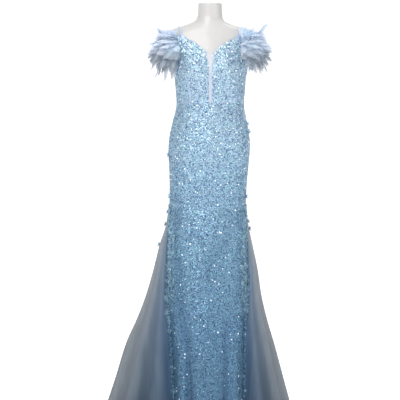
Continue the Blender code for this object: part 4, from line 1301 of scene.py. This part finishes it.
# Upright tufts, thin wisps and long lower tips of each shoulder
SINGLE_PLUMES = {
    LEFT: table(
        *PLUME_FIELDS,
        (44, 0.95, 82, 56, 2, 15, -14), (44.5, 0.70, 72, 50, 6, 16, -12), (48, 0.95, 80, 56, 4, 17, -4),
        (53, 0.96, 74, 52, 8, 16, 6), (44.5, 0.80, 58, 46, 14, 16, -6), (58, 0.90, 66, 52, 12, 16, 8),
        (54, 0.80, 70, 66, 4, 6, 10), (63, 0.80, 46, 108, 2, 13, 12), (64, 0.84, 52, 84, 4, 6, 4),
        (62, 0.84, 47, 100, 3, 11, 10), (66, 0.80, 50, 112, 3, 12, 16), (112, 0.80, 58, 76, 6, 6, 0),
        (60, 0.10, -76, 104, 2, 15, 4), (70, 0.10, -72, 110, 2, 15, -6), (80, 0.10, -66, 108, 2, 14, 6),
        (45, 0.40, -20, 50, 18, 18, -8), (45, 0.20, -48, 56, 12, 15, -6),
    ),
    RIGHT: table(
        *PLUME_FIELDS,
        (48, 0.80, 56, 40, 14, 16, -4), (49, 0.95, 74, 48, 8, 17, -2), (56, 0.95, 76, 52, 8, 19, 4),
        (64, 0.95, 72, 54, 10, 19, 10), (74, 0.95, 68, 56, 10, 19, 4), (71, 0.84, 66, 84, 3, 11, 12),
        (50, 0.10, -84, 126, 2, 15, 4), (62, 0.10, -78, 134, 2, 14, -6), (72, 0.10, -70, 124, 2, 14, 6),
        (72, 0.80, 64, 70, 3, 7, 10), (68, 0.84, 56, 62, 4, 6, 16), (108, 0.80, 60, 70, 6, 6, 0),
        (45, 0.44, -14, 52, 18, 18, -8), (45, 0.22, -46, 60, 12, 15.5, -6),
    ),
}
QUILL_POINTS = 30
VANE_COLUMNS = 9
VANE_ROUNDING = 0.38
VANE_CROWN = 0.45
BARB_SWEEP = 0.6
BARB_REACH = 1.40
COMB_STEP = 0.31


def plumes_of(side, random):
    """Every plume of one shoulder, the rows with random differences."""
    low, high = BACKING_ANGLES[0] + 3.0, BACKING_ANGLES[1] - 3.0
    plumes = SINGLE_PLUMES[side] + SWEPT_PLUMES
    for row in PLUME_ROWS:
        tilts = {LEFT: row.tilt_left, RIGHT: row.tilt_right}
        lengths = {LEFT: row.length_left, RIGHT: row.length_right}
        for c in range(row.columns):
            share = (c + 0.5 * row.shift + 0.25) / row.columns
            angle = low + (high - low) * share + random.uniform(-5, 5)
            rise = row.rise + random.uniform(-0.08, 0.05)
            tilt = tilts[side] + random.uniform(-22, 22)
            length = lengths[side] * random.uniform(0.74, 1.10)
            width = row.width * random.uniform(0.80, 1.20)
            sway = random.uniform(-0.028, 0.028)
            droop = row.droop * random.uniform(0.7, 1.9)
            plumes.append(Plume(angle, rise, tilt, length, droop, width, sway))
    return plumes


def quill(plume, side, t):
    """Points of a quill, and which way lies beside it. A sway above 0 is towards the back."""
    height = BACKING_LOW + (BACKING_HIGH - BACKING_LOW) * plume.rise
    at = side * plume.angle
    root = lifted(skin, at if at >= -90 else at + 360, height, BAND_FACE + LAP + BACKING_THICK * 0.5)
    level = (root - (side * PLUME_CENTRE[0], PLUME_CENTRE[1], 0.0)) * (1, 1, 0)
    level /= np.linalg.norm(level)
    slope = math.radians(plume.tilt)
    out = level * math.cos(slope) + np.array((0, 0, math.sin(slope)))
    beside = np.cross((0, 0, 1), level) * side
    bend = np.outer(t * t, beside * plume.sway - np.array((0, 0, plume.droop)))
    return root + np.outer(t * plume.length, out) + bend, beside


def vane(line, beside, width, random):
    """A frayed, crowned blade along a quill, with how far each point is out from it and along it."""
    rows = len(line)
    t = np.linspace(0.0, 1.0, rows)[:, None]
    u = np.linspace(-1.0, 1.0, VANE_COLUMNS)[None, :]
    ahead = heading_of(line)
    up = np.cross(ahead, beside)
    up /= np.linalg.norm(up, axis=1, keepdims=True)
    length = np.linalg.norm(np.diff(line, axis=0), axis=1).sum()
    full = width * np.sin(np.pi * np.clip(0.06 + 0.92 * t**0.85, 0, 1)) ** VANE_ROUNDING
    rough = 1 + 0.22 * (random.random((rows, 2)) - 0.5)
    full = full * np.where(u < 0, rough[:, :1], rough[:, 1:])
    forward = BARB_SWEEP * full * np.abs(u) ** 1.3
    crown = -VANE_CROWN * full * np.abs(u) ** 1.8
    ripple = 0.05 * width * np.sin(17 * t + 5 * u)
    points = line[:, None] + (full * u)[..., None] * beside
    points = points + forward[..., None] * ahead[:, None] + (crown + ripple)[..., None] * up[:, None]
    return points, np.abs(u) + 0 * t, t + 0 * u, t * length - 0.5 * forward + 0 * u


def make_feathers():
    """Soft plumes rooted in a strip on each band."""
    tree = plume_tree()
    pair = join_scene("barb_pair", barb_pair())
    t = np.linspace(0.0, 1.0, QUILL_POINTS)
    swell = 0.30 + 0.70 * np.sin(np.pi * np.clip(t + 0.04, 0, 1))
    cells = quads_of(QUILL_POINTS, VANE_COLUMNS)
    for side in (LEFT, RIGHT):
        random = np.random.default_rng(40 + side)
        stems, blades, faces, edges = defaultdict(list), defaultdict(list), [], []
        for number, plume in enumerate(plumes_of(side, random)):
            line, beside = quill(plume, side, t)
            tone = random.uniform(0, 1)
            points, tip, along, comb = vane(line, beside * side, plume.width, random)
            comb = comb + COMB_STEP * number
            blade = {"points": points, "tip": tip, "along": along, "comb": comb, "tone": tone + 0 * tip}
            stem = {"points": line, "heading": heading_of(line), "across": beside + 0 * line}
            stem.update({"reach": BARB_REACH * plume.width * swell, "tone": tone + 0 * t, "along": t})
            for kept, made in ((blades, blade), (stems, stem)):
                for name, values in made.items():
                    kept[name].append(values)
            start = number * QUILL_POINTS
            edges += [(start + i, start + i + 1) for i in range(QUILL_POINTS - 1)]
            faces.append(cells + start * VANE_COLUMNS)
        blades, stems = ({name: np.concatenate(v) for name, v in kept.items()} for kept in (blades, stems))
        faces = np.concatenate(faces).tolist()
        sheet = join_scene("vanes", plain_mesh("vanes", blades.pop("points"), faces, **blades), "plume")
        quills = plain_mesh("quills", stems.pop("points"), [], edges, **stems)
        inputs = {"Barbs": pair, "Vanes": sheet, "Seed": 50 + side}
        piece = run_tree(f"plumes_{WORDS[side]}", quills, tree, inputs)
        bpy.data.objects.remove(sheet)
        finished(piece, "feather", f"feathers_{WORDS[side]}")
    bpy.data.objects.remove(pair)


# Rows of a petal from its root: how far out, and how wide to each side
PETAL_ROWS = ((0.10, 0.08), (0.42, 0.30), (0.74, 0.40), (1.0, 0.14))
PETAL_DIP = 0.10
PETAL_THICK = 0.0004


def flower_points(petals, cup, pinch, spin=0.0):
    """Points, faces and tip values of a flower of unit radius round the Z axis."""
    points, faces, tips = [], [], []
    for petal in range(petals):
        turn = spin + 2 * math.pi * petal / petals
        cos, sin = math.cos(turn), math.sin(turn)
        start = len(points)
        for reach, wide in PETAL_ROWS:
            for across in (-1, 0, 1):
                x, y = reach * (1 - 0.06 * abs(across)), wide * across * pinch
                rise = cup * reach**1.6 - (PETAL_DIP if across == 0 else 0.0) * reach
                points.append((x * cos - y * sin, x * sin + y * cos, rise))
                tips.append(reach)
        for a in (start + 3 * r + c for r in range(3) for c in range(2)):
            faces.append((a, a + 3, a + 4, a + 1))
    start = len(points)
    for reach, rise in ((0.17, 0.02), (0.12, 0.14)):
        turns = [math.pi * i / 3 for i in range(6)]
        points += [(reach * math.cos(turn), reach * math.sin(turn), rise) for turn in turns]
    points.append((0.0, 0.0, 0.19))
    tips += [1.0] * 13
    for i in range(6):
        j = (i + 1) % 6
        faces.append((start + i, start + j, start + 6 + j, start + 6 + i))
        faces.append((start + 6 + i, start + 6 + j, start + 12))
    return np.array(points), faces, tips


# Single flowers: the surface they lie on, where on it, and their radius
BLOOMS = table(
    "surface across height radius", "height radius",
    ("skirt", 84, 1134, 9.5), ("skirt", 79, 1104, 11), ("skirt", 85, 846, 9), ("skirt", -85, 1012, 10),
    ("skirt", -80, 846, 10), ("left", 0.50, 746, 9), ("left", 0.50, 716, 11.5), ("right", 0.50, 784, 8.5),
    ("right", 0.50, 734, 11), ("right", 0.50, 652, 10.5),
)
BLOOM_SPREAD = 1.12


def make_flowers():
    """The single flowers sewn to the skirt and the godets."""
    surfaces = {"skirt": (skin, OUTER), "left": (godet(LEFT), TULLE), "right": (godet(RIGHT), TULLE)}
    for number, bloom in enumerate(BLOOMS, start=1):
        surface, lift = surfaces[bloom.surface]
        foot = lifted(surface, bloom.across, bloom.height, lift + 0.0004)
        out = lifted(surface, bloom.across, bloom.height, lift + 0.01) - foot
        out /= np.linalg.norm(out)
        right = np.cross(out, (0.0, 0.0, 1.0))
        right /= np.linalg.norm(right)
        points, faces, tips = flower_points(5, 0.75, 1.0, 0.4 * number)
        placed = foot + points * bloom.radius * BLOOM_SPREAD @ np.array([right, np.cross(right, out), out])
        name = f"bloom_{number:02d}"
        mesh = plain_mesh(name, placed, [f[::-1] for f in faces], tip=tips, tone=[0.7] * len(tips))
        piece = join_scene(name, mesh, "petal")
        solidify(piece, PETAL_THICK)
        finished(piece, "applique", f"flower_{number:02d}")


def scatter_tree():
    """Copies of one small shape over a strip of cloth, turned at random about the cloth's normal."""
    numbers = {"Spacing": 0.010, "Smallest": 0.006, "Largest": 0.011, "Tilt": 0.55}
    made = Sewing("Sew on flowers", "Cloth", ("Flower",), numbers, "Flowers")
    spread, seed, tilt = made.scatter(), made.number("Seed"), made.number("Tilt")
    spans = ((0.0 - tilt, tilt), (0.0 - tilt, tilt), (0.0, 6.283))
    turns = [made.random(low, high, seed + more) for more, (low, high) in enumerate(spans, start=1)]
    size = made.random(made.given["Smallest"], made.given["Largest"], seed + 4)
    settled = made.turned(spread["Rotation"], *turns)
    laid = made.laid(spread["Points"], made.shape("Flower"), settled, size)
    return made.close(made.toned(laid, "INSTANCE", seed + 6), "petal")


# Borders of flowers beside each side seam, with the node that they stand for if any
BORDER_FIELDS = ("node surface near width low high fullness", "width low high")
BORDERS = {
    LEFT: table(
        *BORDER_FIELDS,
        ("applique_left", "skirt", 88.5, 62, 385, 800, 1.0),
        ("", "godet", 0.002, 16, 350, 580, 1.0),
        ("", "godet", 0.001, 9, 24, 370, 0.35),
    ),
    RIGHT: table(
        *BORDER_FIELDS,
        ("applique_right", "skirt", 88.5, 62, 385, 800, 1.0),
        ("", "godet", 0.002, 18, 340, 570, 1.0),
        ("", "godet", 0.001, 12, 24, 360, 0.35),
    ),
}
SPRIGS = table(
    "name petals cup pinch smallest largest spacing",
    "smallest largest spacing",
    ("five_petals", 5, 0.60, 0.85, 5.2, 9, 11),
    ("leaf_sprig", 3, 0.45, 0.55, 7, 11.5, 15),
    ("bud", 6, 0.75, 0.70, 2.8, 4.2, 8),
)
SKIRT_RADIUS = 0.115
GODET_STEP = 0.02
BORDER_PAINTED_SHADE = 0.1


def border_strip(border, side):
    """The strip of cloth that one border of flowers is sewn to."""
    height = np.linspace(border.low, border.high, 60)[:, None]
    along = (height - border.low) / (border.high - border.low)
    taper = np.clip(0.40 + 3.0 * np.minimum(along, 1 - along), 0.15, 1.0) * (0.85 + 0.15 * np.cos(44 * along))
    if border.surface == "skirt":
        per_metre = -math.degrees(1 / SKIRT_RADIUS)
    else:
        cloth = godet(side)
        near = border.near if side > 0 else 1 - border.near
        run = cloth(near + side * GODET_STEP, height) - cloth(near, height)
        per_metre = GODET_STEP / np.linalg.norm(run, axis=-1)
    across = border.near + border.width * per_metre * taper * np.linspace(0.0, 1.0, 8)
    if border.surface == "skirt":
        across = across[:, ::-1] if side > 0 else -across
        return lifted(skin, across, height, OUTER + 0.0008 + creasing(across, height))
    across = across if side > 0 else (1 - across)[:, ::-1]
    return lifted(cloth, across, height, TULLE + 0.0006)


def make_applique(sequins):
    """Flowers and leaves that overlap along the borders, with sequins under those on the godets."""
    tree = scatter_tree()
    shapes = {}
    for sprig in SPRIGS:
        points, faces, tips = flower_points(sprig.petals, sprig.cup, sprig.pinch)
        shapes[sprig] = join_scene(sprig.name, plain_mesh(sprig.name, points, faces, tip=tips), "petal")
    for side, number, border in ((s, n, b) for s in (LEFT, RIGHT) for n, b in enumerate(BORDERS[s])):
        strip = border_strip(border, side)
        if border.surface == "godet":
            net = join_scene("sewn_border", grid_mesh("strip", strip), "net")
            # The sequins of the border get a little painted shade
            pointed(net.data, shade=np.full(strip.shape[:2], BORDER_PAINTED_SHADE))
            sequins_on(f"sequins_border_{WORDS[side]}_{number}", [net], sequins, 70 + side)
            bpy.data.objects.remove(net)
        made = []
        for sprig, shape in shapes.items():
            inputs = {"Flower": shape, "Smallest": sprig.smallest, "Largest": sprig.largest}
            inputs.update({"Seed": 60 + 10 * number + side, "Spacing": sprig.spacing / border.fullness})
            made.append(run_tree(sprig.name, grid_mesh("strip", strip), tree, inputs))
        name = f"applique_flowers_{WORDS[side]}" if border.node else f"border_flowers_{WORDS[side]}_{number}"
        mesh = joined_mesh(name, made)
        mesh.shade_smooth()
        for part in made:
            bpy.data.objects.remove(part)
        piece = join_scene(name, mesh, "petal")
        solidify(piece, PETAL_THICK)
        finished(piece, "applique", *([border.node] if border.node else []))
    for shape in shapes.values():
        bpy.data.objects.remove(shape)


# Soft round lamps: where they stand, the height on the dress that they face, size, power and colour
LAMPS = (
    ("key", (-1.1, -2.6, 2.9), 1.2, 2.4, 50.0, (1.0, 0.99, 0.97)),
    ("spot", (0.0, -1.5, 4.3), 1.2, 0.5, 19.0, (1.0, 0.99, 0.97)),
    ("fill", (2.4, -2.2, 1.6), 0.9, 2.2, 12.0, (0.97, 0.98, 1.0)),
    ("top", (0.2, 0.3, 3.6), 1.2, 1.6, 18.0, (1.0, 1.0, 1.0)),
    ("back", (1.2, 3.0, 2.4), 1.0, 2.0, 24.0, (1.0, 1.0, 1.0)),
)
SKY = (0.98, 0.99, 1.0, 1.0)
SKY_STRENGTH = 0.46
FLOOR_HALF = 22.0
FLOOR_END = 17.0
SWEEP_START = 18.0
SWEEP_RADIUS = 1.5
SWEEP_TOP = 16.0


def make_studio():
    """Camera, soft lights and a pale sweep of floor."""
    scene = bpy.context.scene
    lens = bpy.data.cameras.new("camera")
    lens.sensor_width = 36.0
    lens.lens = 36.0 * CAMERA_AWAY / FRAME_SIDE
    camera = join_scene("camera", lens)
    camera.location = (CAMERA_X, -CAMERA_AWAY, CAMERA_HEIGHT)
    camera.rotation_euler = (math.pi / 2, 0.0, 0.0)
    scene.camera = camera

    for name, place, aim, size, power, colour in LAMPS:
        lamp = bpy.data.lights.new(name, "AREA")
        lamp.shape = "DISK"
        lamp.size = size
        lamp.energy = power
        lamp.color = colour
        light = join_scene(name, lamp)
        light.location = place
        light.rotation_euler = (Vector((0.0, 0.0, aim)) - Vector(place)).to_track_quat("-Z", "Y").to_euler()

    world = bpy.data.worlds.new("studio")
    world.use_nodes = True
    sky = world.node_tree.nodes["Background"].inputs
    sky["Color"].default_value = SKY
    sky["Strength"].default_value = SKY_STRENGTH
    scene.world = world
    scene.view_settings.view_transform = "Standard"

    turns = np.linspace(0, math.pi / 2, 16)
    curve = [(SWEEP_START + SWEEP_RADIUS * math.sin(t), SWEEP_RADIUS * (1 - math.cos(t))) for t in turns]
    profile = [(-FLOOR_HALF, 0.0), (FLOOR_END, 0.0), *curve, (SWEEP_START + SWEEP_RADIUS, SWEEP_TOP)]
    points = np.array([[(x, y, z) for x in (-FLOOR_HALF, FLOOR_HALF)] for y, z in profile])
    join_scene("studio_sweep", grid_mesh("studio_sweep", points), "floor")


def main():
    make_studio()
    dress_stand()
    sequins = sequin_tree()
    make_bodice(sequins)
    make_skirt(sequins)
    make_godets()
    make_straps()
    make_bindings()
    make_bands(sequins)
    make_feathers()
    make_flowers()
    make_applique(sequins)


main()
